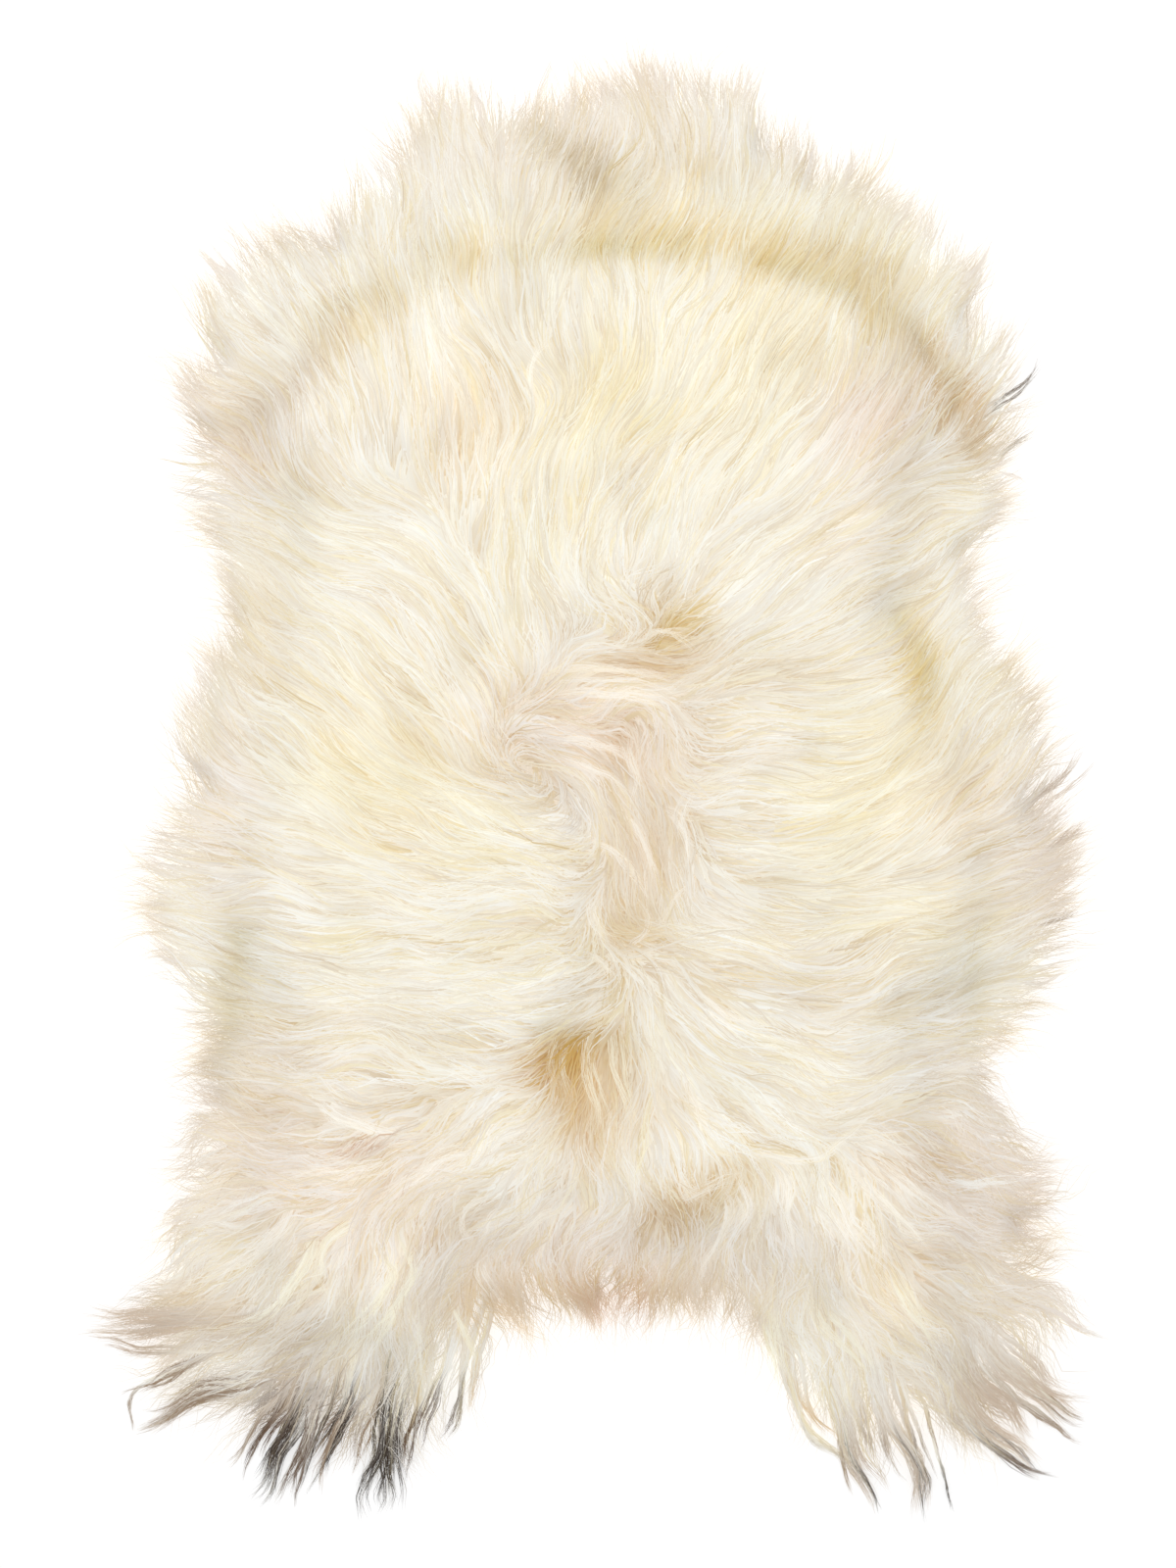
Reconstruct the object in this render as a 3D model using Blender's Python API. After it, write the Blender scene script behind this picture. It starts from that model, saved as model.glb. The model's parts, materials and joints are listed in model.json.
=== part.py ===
"""A long-haired sheepskin rug: one whole tanned pelt, laid flat with its wool up.

Metres, +Z up. The neck points along +Y and the two hind legs along -Y. The origin is on the
floor, under the middle of the rug. The pelt is one solid: a lumpy slab of lying wool on its
flat skin, with pointed locks that run out from the rim and rest on the floor.
"""

import math
import random

import bmesh
import bpy
from mathutils import Vector, noise
from mathutils.geometry import delaunay_2d_cdt

MM = 0.001

# Heights of the wool over the floor
RIM_HEIGHT = 13 * MM  # where the body of the fleece ends and its locks begin
EDGE_RISE = 32 * MM  # from the rim up to the wool that stands on the skin
EDGE_WIDTH = 80 * MM  # how far in from the rim that rise ends
CROWN_RISE = 8 * MM  # what the middle of each side adds to that
CROWN_WIDTH = 230 * MM
PARTING_DEPTH = 12 * MM  # of the parting down the back
PARTING_WIDTH = 40 * MM
TUFT_RISE = 4.5 * MM  # the uneven wool between the named lumps
TUFT_SIZE = 62 * MM
RIM_TUFTS = 0.35  # share of that rise left at the rim

# How finely the pelt is divided
NET_SIZE = 25 * MM  # triangles of the top
NET_MARGIN = 0.6 * NET_SIZE  # from the rim to the first of them
SAME_POINT = 0.01 * MM
RIM_STEPS = 208  # around the rim, one lock at most on each
CURVE_STEPS = 12  # between two rows of REACH, while the rim is measured

# A lock of the rim, from its root to its tip
LOCK_SECTIONS = (
    # along, width, height, each as a share of the whole
    (0.26, 0.94, 0.86),
    (0.58, 0.74, 0.62),
    (0.84, 0.40, 0.36),
    (1.00, 0.09, 0.14),
)
LOCK_BEND = 0.22  # sideways, as a share of its length
SHORTEST_LOCK = 0.70
BEND_RHYTHM = 0.6  # how fast the bend changes from one row of REACH to the next
BEND_START = 3.0
BARE_SHARE = 0.10  # of the rim, without a lock
SHORT_FRINGE = 60 * MM  # locks this long or longer leave no bare stretch
LEAST_OUTWARD = 0.75  # cosine of the most that a lock leans along the rim
OUTWARD_TURN = 1.5  # how strongly one that leans further is turned outward
LOCK_GAP = 0.4 * MM  # half the least space between two locks
THINNEST_LOCK = 1.2 * MM
SEED = 11

# Where the wool reaches, clockwise from the neck: the tip of its longest lock there, which
# way that lock points (degrees, counterclockwise from +X) and its length past the slab
REACH = (
    # place, tip x (mm), tip y (mm), heading, length (mm)
    ("crown of the neck", 31, 567, 88, 45),
    ("right of the crown", 61, 563, 82, 45),
    ("neck, right curl", 121, 555, 78, 52),
    ("right of the neck", 152, 512, 68, 42),
    ("right shoulder, tuft", 197, 497, 62, 48),
    ("right shoulder", 260, 450, 55, 50),
    ("right shoulder, low", 302, 402, 48, 45),
    ("right shoulder, dark wisp", 338, 330, 48, 62),
    ("right flank, curls", 337, 272, 30, 52),
    ("right flank, low curls", 329, 233, 8, 45),
    ("right waist, top", 310, 193, 5, 32),
    ("right waist", 296, 148, 12, 26),
    ("right side, tuft", 341, 84, 38, 42),
    ("right side, top", 371, 26, 38, 55),
    ("right side, widest", 382, -30, 28, 55),
    ("right side, middle", 379, -84, 15, 50),
    ("right side, low tuft", 371, -129, 18, 50),
    ("right side, end", 352, -171, 6, 42),
    ("right notch", 310, -199, -2, 26),
    ("right notch, low", 316, -237, -5, 30),
    ("right haunch, top", 350, -272, -6, 42),
    ("right haunch", 367, -324, -8, 48),
    ("right haunch, low", 356, -367, -18, 45),
    ("right leg, side wisp", 404, -418, -28, 92),
    ("right leg, side lock", 384, -479, -35, 84),
    ("right leg, corner", 347, -529, -48, 88),
    ("right leg, hair", 301, -523, -55, 66),
    ("right leg, long lock", 272, -556, -67, 95),
    ("right leg, inner long lock", 250, -563, -69, 96),
    ("right leg, curl", 215, -557, -68, 95),
    ("right leg, inner side", 176, -514, -82, 68),
    ("crotch, right", 136, -438, -90, 42),
    ("bottom fringe, right", 87, -412, -91, 34),
    ("bottom fringe, rust tips", 20, -418, -90, 34),
    ("bottom fringe, left", -33, -416, -95, 34),
    ("crotch, left", -78, -422, -92, 38),
    ("left leg, inner side", -97, -478, -96, 56),
    ("left leg, inner locks", -133, -520, -113, 74),
    ("left leg, black lock", -166, -567, -98, 98),
    ("left leg, middle", -198, -532, -104, 74),
    ("left leg, dark locks", -226, -558, -108, 96),
    ("left leg, dark cluster", -265, -550, -114, 98),
    ("left leg, grey wisp", -292, -538, -126, 92),
    ("left leg, outer lock", -356, -498, -148, 98),
    ("left leg, upper lock", -368, -469, -152, 90),
    ("left leg, grey lock", -404, -412, -170, 112),
    ("left haunch, low", -347, -379, -168, 54),
    ("left haunch", -337, -324, -172, 46),
    ("left haunch, top", -328, -272, -176, 42),
    ("left haunch, end", -325, -223, -178, 38),
    ("left notch", -298, -195, 180, 24),
    ("left side, low", -323, -171, 178, 35),
    ("left side, swell", -347, -129, 176, 44),
    ("left side, widest", -362, -63, 172, 50),
    ("left side, tuft", -346, -32, 166, 44),
    ("left side, middle", -334, 24, 160, 42),
    ("left side, top", -332, 60, 155, 40),
    ("left waist, low", -308, 95, 150, 30),
    ("left waist", -287, 120, 150, 25),
    ("left waist, top", -293, 159, 158, 30),
    ("left shoulder, low", -307, 203, 162, 38),
    ("left shoulder, tuft", -342, 242, 165, 50),
    ("left shoulder", -332, 311, 152, 50),
    ("left shoulder, corner", -314, 401, 132, 54),
    ("left shoulder, top", -277, 425, 124, 50),
    ("left of the neck", -226, 443, 118, 44),
    ("left of the neck, tuft", -197, 470, 112, 46),
    ("neck, left tuft", -148, 528, 106, 56),
    ("neck, left curl", -125, 551, 100, 56),
    ("neck, left tip", -97, 558, 92, 56),
    ("neck, dip", -61, 531, 88, 40),
    ("neck, middle", -13, 542, 88, 42),
)

# The parting down the back, where the wool falls to either side
PARTING = (
    # place, x (mm), y (mm)
    ("nape", -4, 474),
    ("withers", -22, 377),
    ("fork between the shoulders", -40, 294),
    ("behind the shoulders", -7, 219),
    ("upper whorl", 31, 152),
    ("left bend", 2, 84),
    ("middle of the back", -10, 9),
    ("lower whorl", 23, -51),
    ("right bend", 61, -99),
    ("loin", 23, -156),
    ("hollow of the loin", -4, -208),
    ("rump", -8, -276),
    ("tail", -7, -396),
)

# Pads and dips of the fleece
LUMPS = (
    # place, x (mm), y (mm), radius (mm), rise (mm)
    ("dip of the nape", -8, 458, 52, -7),
    ("pad of the neck", 72, 492, 60, 3),
    ("left shoulder pad", -205, 340, 90, 5),
    ("right shoulder pad", 180, 345, 95, 5),
    ("left waist dip", -160, 172, 48, -6),
    ("right waist crease", 250, 120, 46, -9),
    ("upper whorl", 64, 124, 36, 5),
    ("left side pad", -190, 30, 100, 5),
    ("right side pad", 200, -10, 105, 5),
    ("lower whorl", -4, -96, 34, -5),
    ("hollow of the loin", -18, -210, 50, -9),
    ("left edge step", -280, -150, 40, -7),
    ("right edge step", 290, -170, 42, -8),
    ("tangle of the rump", 78, -308, 40, 6),
    ("left haunch pad", -215, -290, 90, 4),
    ("right haunch pad", 200, -300, 90, 4),
)


def smooth(share):
    """0 below 0, 1 above 1, with a soft start and end between them."""
    share = min(max(share, 0.0), 1.0)
    return share * share * (3.0 - 2.0 * share)


def bell(distance, radius):
    return math.exp(-((distance / radius) ** 2))


def heading_vector(degrees):
    return Vector((math.cos(math.radians(degrees)), math.sin(math.radians(degrees))))


def on_curve(points, place):
    """The closed smooth curve through these points; place counts them, with fractions."""
    start = math.floor(place)
    share = place - start
    before, first, second, after = (points[(start + k) % len(points)] for k in (-1, 0, 1, 2))
    return 0.5 * (
        2.0 * first
        + (second - before) * share
        + (2.0 * before - 5.0 * first + 4.0 * second - after) * share**2
        + (3.0 * first - before - 3.0 * second + after) * share**3
    )


def distance_to_path(point, path):
    """From a point to a chain of straight pieces."""
    best = math.inf
    for first, second in zip(path, path[1:]):
        run = second - first
        share = min(max((point - first).dot(run) / run.length_squared, 0.0), 1.0)
        best = min(best, (first + run * share - point).length)
    return best


def is_inside(point, ring):
    """Whether a ray along +X crosses the ring an odd number of times."""
    inside = False
    for first, second in zip(ring, ring[1:] + ring[:1]):
        if (first.y > point.y) != (second.y > point.y):
            share = (point.y - first.y) / (second.y - first.y)
            if point.x < first.x + (second.x - first.x) * share:
                inside = not inside
    return inside


def even_places(points, steps):
    """Places on the closed curve that cut it into stretches of one length."""
    fine = [k / CURVE_STEPS for k in range(len(points) * CURVE_STEPS + 1)]
    at = [on_curve(points, place) for place in fine]
    travelled = [0.0]
    for first, second in zip(at, at[1:]):
        travelled.append(travelled[-1] + (second - first).length)
    places = []
    k = 0
    for step in range(steps):
        wanted = travelled[-1] * step / steps
        while travelled[k + 1] < wanted:
            k += 1
        share = (wanted - travelled[k]) / (travelled[k + 1] - travelled[k])
        places.append(fine[k] + share / CURVE_STEPS)
    return places


def wool_height(point, ring, parting):
    """How high the lying wool stands over the floor at a point of the slab."""
    inward = distance_to_path(point, ring + ring[:1])
    on_skin = smooth(inward / EDGE_WIDTH)
    height = RIM_HEIGHT + EDGE_RISE * on_skin + CROWN_RISE * smooth(inward / CROWN_WIDTH)
    height -= PARTING_DEPTH * on_skin * bell(distance_to_path(point, parting), PARTING_WIDTH)
    for _, x, y, radius, rise in LUMPS:
        away = (Vector((x, y)) * MM - point).length
        height += rise * MM * bell(away, radius * MM)
    tuft = noise.noise(Vector((point.x, point.y, 0.0)) / TUFT_SIZE)
    return height + TUFT_RISE * tuft * (RIM_TUFTS + (1.0 - RIM_TUFTS) * on_skin)


def net_points(ring):
    """An even triangular net of points inside the ring, clear of it."""
    low = Vector((min(p.x for p in ring), min(p.y for p in ring)))
    high = Vector((max(p.x for p in ring), max(p.y for p in ring)))
    row_height = NET_SIZE * math.sqrt(0.75)
    points = []
    for row in range(math.ceil((high.y - low.y) / row_height)):
        for column in range(math.ceil((high.x - low.x) / NET_SIZE)):
            shift = 0.5 * (row % 2)
            point = low + Vector(((column + shift) * NET_SIZE, row * row_height))
            if not is_inside(point, ring):
                continue
            if distance_to_path(point, ring + ring[:1]) > NET_MARGIN:
                points.append(point)
    return points


def make_slab(mesh, ring, parting):
    """The lumpy slab: a net over the outline, raised to the wool, on one flat face."""
    points = ring + net_points(ring)
    rim = list(range(len(ring)))
    edges = list(zip(rim, rim[1:] + rim[:1]))
    inside_only = 1
    found = delaunay_2d_cdt(points, edges, [rim], inside_only, SAME_POINT)
    flat_points, triangles = found[0], found[2]
    flat = [mesh.verts.new((at.x, at.y, 0.0)) for at in flat_points]
    net = [mesh.faces.new([flat[k] for k in triangle]) for triangle in triangles]
    lifted = bmesh.ops.extrude_face_region(mesh, geom=net)["geom"]
    for vert in lifted:
        if isinstance(vert, bmesh.types.BMVert):
            vert.co.z = wool_height(vert.co.xy, ring, parting)
    open_rim = [edge for edge in mesh.edges if edge.is_boundary]
    bmesh.ops.holes_fill(mesh, edges=open_rim, sides=0)
    bmesh.ops.recalc_face_normals(mesh, faces=mesh.faces)


def is_wall(face):
    """A quad of the slab's side, on which a lock can grow."""
    on_floor = sum(vert.co.z < SAME_POINT for vert in face.verts)
    return len(face.verts) == 4 and on_floor == 2


def lock_point(path, along):
    """A point of a lock's middle line: path is its root, the point that bends it and its tip."""
    root, middle, tip = path
    return (1 - along) ** 2 * root + 2 * along * (1 - along) * middle + along**2 * tip


def nearest_place(row, places):
    """Which of these places on the closed curve lies nearest to a row of REACH."""
    half = len(REACH) / 2
    away = [abs((place - row + half) % len(REACH) - half) for place in places]
    return away.index(min(away))


def turned_outward(run, along_rim):
    """The same run, turned and shortened where it would lean along the rim."""
    outward = Vector((-along_rim.y, along_rim.x)).normalized()
    lean = max(0.0, LEAST_OUTWARD - run.normalized().dot(outward))
    heading = run.normalized() + OUTWARD_TURN * lean * outward
    return run.length * (1.0 - 0.5 * lean) * heading.normalized()


def lock_paths(places, roots, tips):
    """The middle line of each lock of the rim, or None where the rim is bare."""
    chance = random.Random(SEED)
    middles = [0.5 * (a + b) for a, b in zip(places, places[1:] + [len(REACH)])]
    longest = {nearest_place(row, middles) for row in range(len(REACH))}
    paths = []
    for k, place in enumerate(middles):
        root = on_curve(roots, place)
        along_rim = on_curve(roots, place + 0.1) - on_curve(roots, place - 0.1)
        run = turned_outward(on_curve(tips, place) - root, along_rim)
        share = chance.uniform(SHORTEST_LOCK, 1.0)
        is_bare = chance.random() < BARE_SHARE and run.length < SHORT_FRINGE
        if k in longest:
            share = 1.0
        elif is_bare:
            paths.append(None)
            continue
        run *= share
        across = Vector((-run.y, run.x))
        bend = LOCK_BEND * noise.noise(Vector((BEND_RHYTHM * place, BEND_START, 0.0)))
        paths.append((root, root + 0.5 * run + across * bend, root + run))
    return paths


def room_beside(spot, beside):
    """How far a lock may widen at this spot without touching those on either side of it."""
    room = math.inf
    for path in beside:
        line = [lock_point(path, along) for along in (0.0, 0.25, 0.5, 0.75, 1.0)]
        room = min(room, distance_to_path(spot, line))
    return max(0.5 * room - LOCK_GAP, 0.5 * THINNEST_LOCK)


def stands_free(path, beside):
    """Whether a lock keeps clear of those on either side of it, but for its root."""
    spots = [lock_point(path, along) for along in (0.5, 0.75, 1.0)]
    return all(room_beside(spot, beside) > THINNEST_LOCK for spot in spots)


def grow_lock(mesh, wall, path, beside):
    """Draws one wall of the rim out into a pointed lock that lies on the floor."""
    root, middle, tip = path
    centre = wall.calc_center_median().xy
    across = Vector((-(tip - root).y, (tip - root).x)).normalized()
    half_width = max(abs((vert.co.xy - centre).dot(across)) for vert in wall.verts)
    height = max(vert.co.z for vert in wall.verts)
    face, last_height = wall, height
    for along, wide, high in LOCK_SECTIONS:
        face = bmesh.ops.extrude_discrete_faces(mesh, faces=[face])["faces"][0]
        spot = lock_point(path, along)
        slope = 2 * (1 - along) * (middle - root) + 2 * along * (tip - middle)
        turned = Vector((-slope.y, slope.x)).normalized()
        reach = min(half_width * wide, room_beside(spot, beside))
        for vert in face.verts:
            side = math.copysign(1.0, (vert.co.xy - centre).dot(across))
            is_top = vert.co.z > 0.5 * last_height
            vert.co.xy = spot + turned * side * reach
            vert.co.z = height * high if is_top else 0.0
        centre, across, last_height = spot, turned, height * high


def make_locks(mesh, paths):
    """Grows the locks that stand free of each other, and returns how many did."""
    walls = [face for face in mesh.faces if is_wall(face)]
    grown = 0
    for k, path in enumerate(paths):
        near = [other for other in (paths[k - 1], paths[(k + 1) % len(paths)]) if other]
        if path is None or not stands_free(path, near):
            paths[k] = None
            continue
        wall = min(walls, key=lambda face: (face.calc_center_median().xy - path[0]).length)
        walls.remove(wall)
        grow_lock(mesh, wall, path, near)
        grown += 1
    return grown


def wool_material():
    material = bpy.data.materials.new("cream_wool")
    material.use_nodes = True
    shader = material.node_tree.nodes["Principled BSDF"]
    shader.inputs["Base Color"].default_value = (0.93, 0.87, 0.70, 1.0)
    shader.inputs["Roughness"].default_value = 0.9
    shader.inputs["Metallic"].default_value = 0.0
    material.diffuse_color = (0.93, 0.87, 0.70, 1.0)
    return material


def build_sheepskin():
    for old in list(bpy.data.objects):
        bpy.data.objects.remove(old, do_unlink=True)
    tips = [Vector((x, y)) * MM for _, x, y, _, _ in REACH]
    roots = [
        tip - heading_vector(heading) * length * MM
        for tip, (_, _, _, heading, length) in zip(tips, REACH)
    ]
    parting = [Vector((x, y)) * MM for _, x, y in PARTING]
    places = even_places(roots, RIM_STEPS)
    ring = [on_curve(roots, place) for place in places]

    mesh = bmesh.new()
    make_slab(mesh, ring, parting)
    paths = lock_paths(places, roots, tips)
    grown = make_locks(mesh, paths)
    low = Vector((min(v.co.x for v in mesh.verts), min(v.co.y for v in mesh.verts)))
    high = Vector((max(v.co.x for v in mesh.verts), max(v.co.y for v in mesh.verts)))
    bmesh.ops.translate(mesh, verts=mesh.verts, vec=-((low + high) / 2).to_3d())
    bmesh.ops.recalc_face_normals(mesh, faces=mesh.faces)

    data = bpy.data.meshes.new("sheepskin")
    mesh.to_mesh(data)
    mesh.free()
    data.shade_smooth()
    data.set_sharp_from_angle(angle=math.radians(50))
    data.materials.append(wool_material())
    pelt = bpy.data.objects.new("sheepskin", data)
    collection = bpy.data.collections.new("sheepskin_rug")
    bpy.context.scene.collection.children.link(collection)
    collection.objects.link(pelt)
    size = high - low
    print(f"{grown} locks, {size.x / MM:.0f} x {size.y / MM:.0f} mm")


build_sheepskin()
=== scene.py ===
# %% [markdown]
# # A long-haired sheepskin rug
#
# This lesson dresses a plain modelled sheepskin with its real wool. The pelt is one whole tanned skin, about
# 81 cm wide and 113 cm long over the wool, with the neck at the top (+Y) and the two hind legs at the bottom.
# On the real rug the wool is everything: fine hairs 6 to 10 cm long, gathered into flat pointed locks that
# fall away from a winding parting and lie over each other like shingles, out past the edge of the skin.
#
# Blender has hair curves for this, but a curve system is not a mesh and does not travel to other programs.
# So every strand here is a thin ribbon of real mesh, and all the strands of one zone are one joined mesh,
# filled from numpy arrays. Nothing is combed by hand: a short table says which way the wool lies at places
# that were looked at one by one, and the strands follow it.

# %% The frame
import json
import math

import bpy
import numpy as np
from mathutils import Matrix, Vector
from mathutils.bvhtree import BVHTree

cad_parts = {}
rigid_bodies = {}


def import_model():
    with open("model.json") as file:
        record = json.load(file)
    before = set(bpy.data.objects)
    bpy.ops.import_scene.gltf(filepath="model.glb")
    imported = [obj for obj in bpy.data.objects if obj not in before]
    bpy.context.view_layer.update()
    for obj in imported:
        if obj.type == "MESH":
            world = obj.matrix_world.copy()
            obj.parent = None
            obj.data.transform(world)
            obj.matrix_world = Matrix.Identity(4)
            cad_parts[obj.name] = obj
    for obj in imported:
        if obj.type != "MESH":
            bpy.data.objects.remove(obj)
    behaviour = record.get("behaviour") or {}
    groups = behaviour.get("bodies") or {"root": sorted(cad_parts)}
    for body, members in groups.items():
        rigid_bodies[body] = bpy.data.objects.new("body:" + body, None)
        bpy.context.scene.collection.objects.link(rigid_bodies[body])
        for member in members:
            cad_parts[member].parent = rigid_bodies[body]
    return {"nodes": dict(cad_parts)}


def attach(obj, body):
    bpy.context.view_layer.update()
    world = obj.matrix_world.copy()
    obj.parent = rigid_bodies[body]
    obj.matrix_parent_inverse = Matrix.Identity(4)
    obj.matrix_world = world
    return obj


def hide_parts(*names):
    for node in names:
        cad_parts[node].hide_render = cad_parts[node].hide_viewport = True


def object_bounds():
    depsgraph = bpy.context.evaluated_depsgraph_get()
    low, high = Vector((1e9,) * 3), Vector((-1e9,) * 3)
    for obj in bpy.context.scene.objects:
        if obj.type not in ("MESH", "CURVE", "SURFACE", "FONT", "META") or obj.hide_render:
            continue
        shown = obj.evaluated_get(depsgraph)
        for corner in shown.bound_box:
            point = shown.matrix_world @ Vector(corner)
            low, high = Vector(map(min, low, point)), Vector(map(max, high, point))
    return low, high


for thing in list(bpy.data.objects):
    bpy.data.objects.remove(thing)
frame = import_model()
cad_low, cad_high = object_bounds()
MM = 0.001
print("pelt in the frame:", [round(v / MM) for v in (*cad_low, *cad_high)], "mm")

# %% [markdown]
# ## Camera, floor and light
#
# The rug is seen from straight above, so the camera hangs over it and looks down, with the neck up in the
# picture. A long lens keeps the view close to a plan. The view transform is the plain one: the fleece is
# nearly white on a white floor, and a film-like transform would turn both grey.
#
# A white fleece shows its shape only by soft shade between the locks. One large soft light, a little towards
# the neck and the left, gives that shade, and an even white sky fills it.

# %% Camera
VIEW_HEIGHT = 1.200                # of the picture, on the floor
VIEW_MIDDLE = Vector((-0.0068, 0.0019, 0.0))
SENSOR = 36.0
LENS = 100.0

camera_data = bpy.data.cameras.new("camera")
camera_data.sensor_fit = "VERTICAL"
camera_data.sensor_height = SENSOR
camera_data.lens = LENS
camera_data.clip_end = 50.0
camera = bpy.data.objects.new("camera", camera_data)
camera.location = VIEW_MIDDLE + Vector((0, 0, VIEW_HEIGHT * LENS / SENSOR))
bpy.context.scene.collection.objects.link(camera)
bpy.context.scene.camera = camera
bpy.context.scene.view_settings.view_transform = "Standard"
print("camera height:", round(camera.location.z, 3), "m")

# %% Floor
FLOOR_SIZE = 16.0
FLOOR_WHITE = 0.97

def new_material(name):
    """A material with nodes, its tree and its Principled shader."""
    material = bpy.data.materials.new(name)
    material.use_nodes = True
    tree = material.node_tree
    return material, tree, tree.nodes["Principled BSDF"]

bpy.ops.mesh.primitive_plane_add(size=FLOOR_SIZE)
floor = bpy.context.object
floor.name = "floor"
floor_material, _, floor_shader = new_material("white floor")
floor_shader.inputs["Base Color"].default_value = (FLOOR_WHITE, FLOOR_WHITE, FLOOR_WHITE, 1)
floor_shader.inputs["Roughness"].default_value = 0.9
floor_shader.inputs["Specular IOR Level"].default_value = 0.1
floor.data.materials.append(floor_material)

# %% Light
SKY_STRENGTH = 0.575
LAMP_POWER = 120.0
LAMP_SIZE = 2.6
LAMP_PLACE = Vector((-0.35, 0.8, 4.35))

world = bpy.data.worlds.new("white sky")
world.use_nodes = True
world.node_tree.nodes["Background"].inputs["Color"].default_value = (1, 1, 1, 1)
world.node_tree.nodes["Background"].inputs["Strength"].default_value = SKY_STRENGTH
bpy.context.scene.world = world
lamp_data = bpy.data.lights.new("soft light", "AREA")
lamp_data.energy = LAMP_POWER
lamp_data.size = LAMP_SIZE
lamp = bpy.data.objects.new("soft light", lamp_data)
lamp.location = LAMP_PLACE
lamp.rotation_euler = (-LAMP_PLACE).to_track_quat("-Z", "Y").to_euler()
bpy.context.scene.collection.objects.link(lamp)

# %% [markdown]
# In pale wool light goes on from hair to hair many times, and each time it gets a little warmer. With the
# usual four bounces the gaps between the strands would come out grey, so here there are more.

# %% Bounces
bpy.context.scene.cycles.max_bounces = 12
bpy.context.scene.cycles.diffuse_bounces = 8

# %% [markdown]
# ## How high the wool stands
#
# The strands have to fill the solid sheepskin of the frame and no more. So its top is read once, on an even
# grid of vertical rays, and blurred a little, because the solid is faceted and wool isn't. All later steps
# ask this grid for the height of the pile at any place, and for its cover: how well inside the rug a place is.

# %% Pile height
GRID_STEP = 3 * MM
GRID_MARGIN = 30 * MM
RAYS_FROM = 1.0                    # above the rug

pelt = frame["nodes"]["sheepskin"]
grid_low = np.array([cad_low[0] - GRID_MARGIN, cad_low[1] - GRID_MARGIN])
grid_size = [int((cad_high[i] - cad_low[i] + 2 * GRID_MARGIN) / GRID_STEP) + 2 for i in (0, 1)]
grid_x = grid_low[0] + GRID_STEP * np.arange(grid_size[0])
grid_y = grid_low[1] + GRID_STEP * np.arange(grid_size[1])

def read_height():
    """The top of the pelt over each point of the grid, 0 where there is none."""
    tree = BVHTree.FromPolygons([v.co for v in pelt.data.vertices], [p.vertices for p in pelt.data.polygons])
    height = np.zeros(grid_size)
    down = Vector((0, 0, -1))
    for i, x in enumerate(grid_x):
        for j, y in enumerate(grid_y):
            hit = tree.ray_cast(Vector((x, y, RAYS_FROM)), down)[0]
            if hit is not None:
                height[i, j] = hit.z
    return height

solid_height = read_height()
print("height read at", grid_size[0], "by", grid_size[1], "places")

# %% Blurring the grid and reading it
PILE_BLUR = 7 * MM
COVER_BLUR = 11 * MM

def blurred(values, size):
    """values on the grid, softened over about size, first along X and then along Y."""
    reach = int(math.ceil(2 * size / GRID_STEP))
    weights = np.exp(-0.5 * (np.arange(-reach, reach + 1) * GRID_STEP / size) ** 2)
    weights /= weights.sum()
    for axis in (0, 1):
        margins = [(reach, reach) if a == axis else (0, 0) for a in range(values.ndim)]
        padded = np.pad(values, margins, mode="edge")
        count = values.shape[axis]
        values = sum(w * np.take(padded, range(k, k + count), axis) for k, w in enumerate(weights))
    return values

def at(values, places):
    """values of the grid at places (..., 2), read between its points."""
    along = (places - grid_low) / GRID_STEP
    cell = np.clip(along.astype(int), 0, np.array(grid_size) - 2)
    part = np.clip(along - cell, 0, 1)
    i, j = cell[..., 0], cell[..., 1]
    u, v = part[..., 0], part[..., 1]
    if values.ndim > 2:
        u, v = u[..., None], v[..., None]
    return ((values[i, j] * (1 - u) + values[i + 1, j] * u) * (1 - v)
            + (values[i, j + 1] * (1 - u) + values[i + 1, j + 1] * u) * v)

pile = blurred(solid_height, PILE_BLUR)
cover = blurred((solid_height > 0).astype(float), COVER_BLUR)      # 1 well inside, half at the outline
print("pile:", round(pile.max() / MM, 1), "mm at its highest;",
      "wool covers", round((solid_height > 0).sum() * GRID_STEP ** 2, 3), "square metres")

# %% [markdown]
# Two things are added to that height. Long wool lies in soft swells a few centimetres wide. And on this skin
# the wool of the back ends in a thick edge, like a pillow, before the wool of the rim begins: a crease runs
# there, and in it the old roots show in olive. The creases and the dips between the swells are also darkened
# with painted shade, kept here for each place of the grid. A table of lines holds the creases. A straight or
# even crease would look drawn, so soft noise moves each of them a little and makes it fade and deepen on its
# way.

# %% Table of swells and creases
SWELLS = ((46 * MM, 2.6 * MM, 1), (21 * MM, 1.5 * MM, 2))      # size, height, seed
CREASES = {
    # crease: (depth in mm, half width in mm, then points of its line: x, y in mm)
    "left shoulder": (2, 16, (-284, 279), (-232, 343), (-157, 384), (-97, 401)),
    "across the shoulders": (4, 10, (-60, 405), (23, 411), (113, 399), (196, 377), (248, 339), (274, 302),
                             (286, 264)),
    "right waist": (3, 10, (237, 137), (247, 107), (256, 69)),
    "right side, low": (3, 10, (301, -96), (293, -133), (287, -163), (286, -193)),
    "left side": (3, 10, (-273, 122), (-286, 77), (-295, 32)),
    "left side, low": (3, 10, (-277, -111), (-278, -141), (-280, -171), (-295, -216)),
    "hollow over the loin": (4, 13, (-40, -186), (-22, -194), (0, -192), (14, -200)),
}
print(len(SWELLS), "sizes of swell and", len(CREASES), "creases")

# %% Soft noise and distances
NOISE_CELLS = 64                   # after these the noise repeats, which is far beyond the rug

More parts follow.
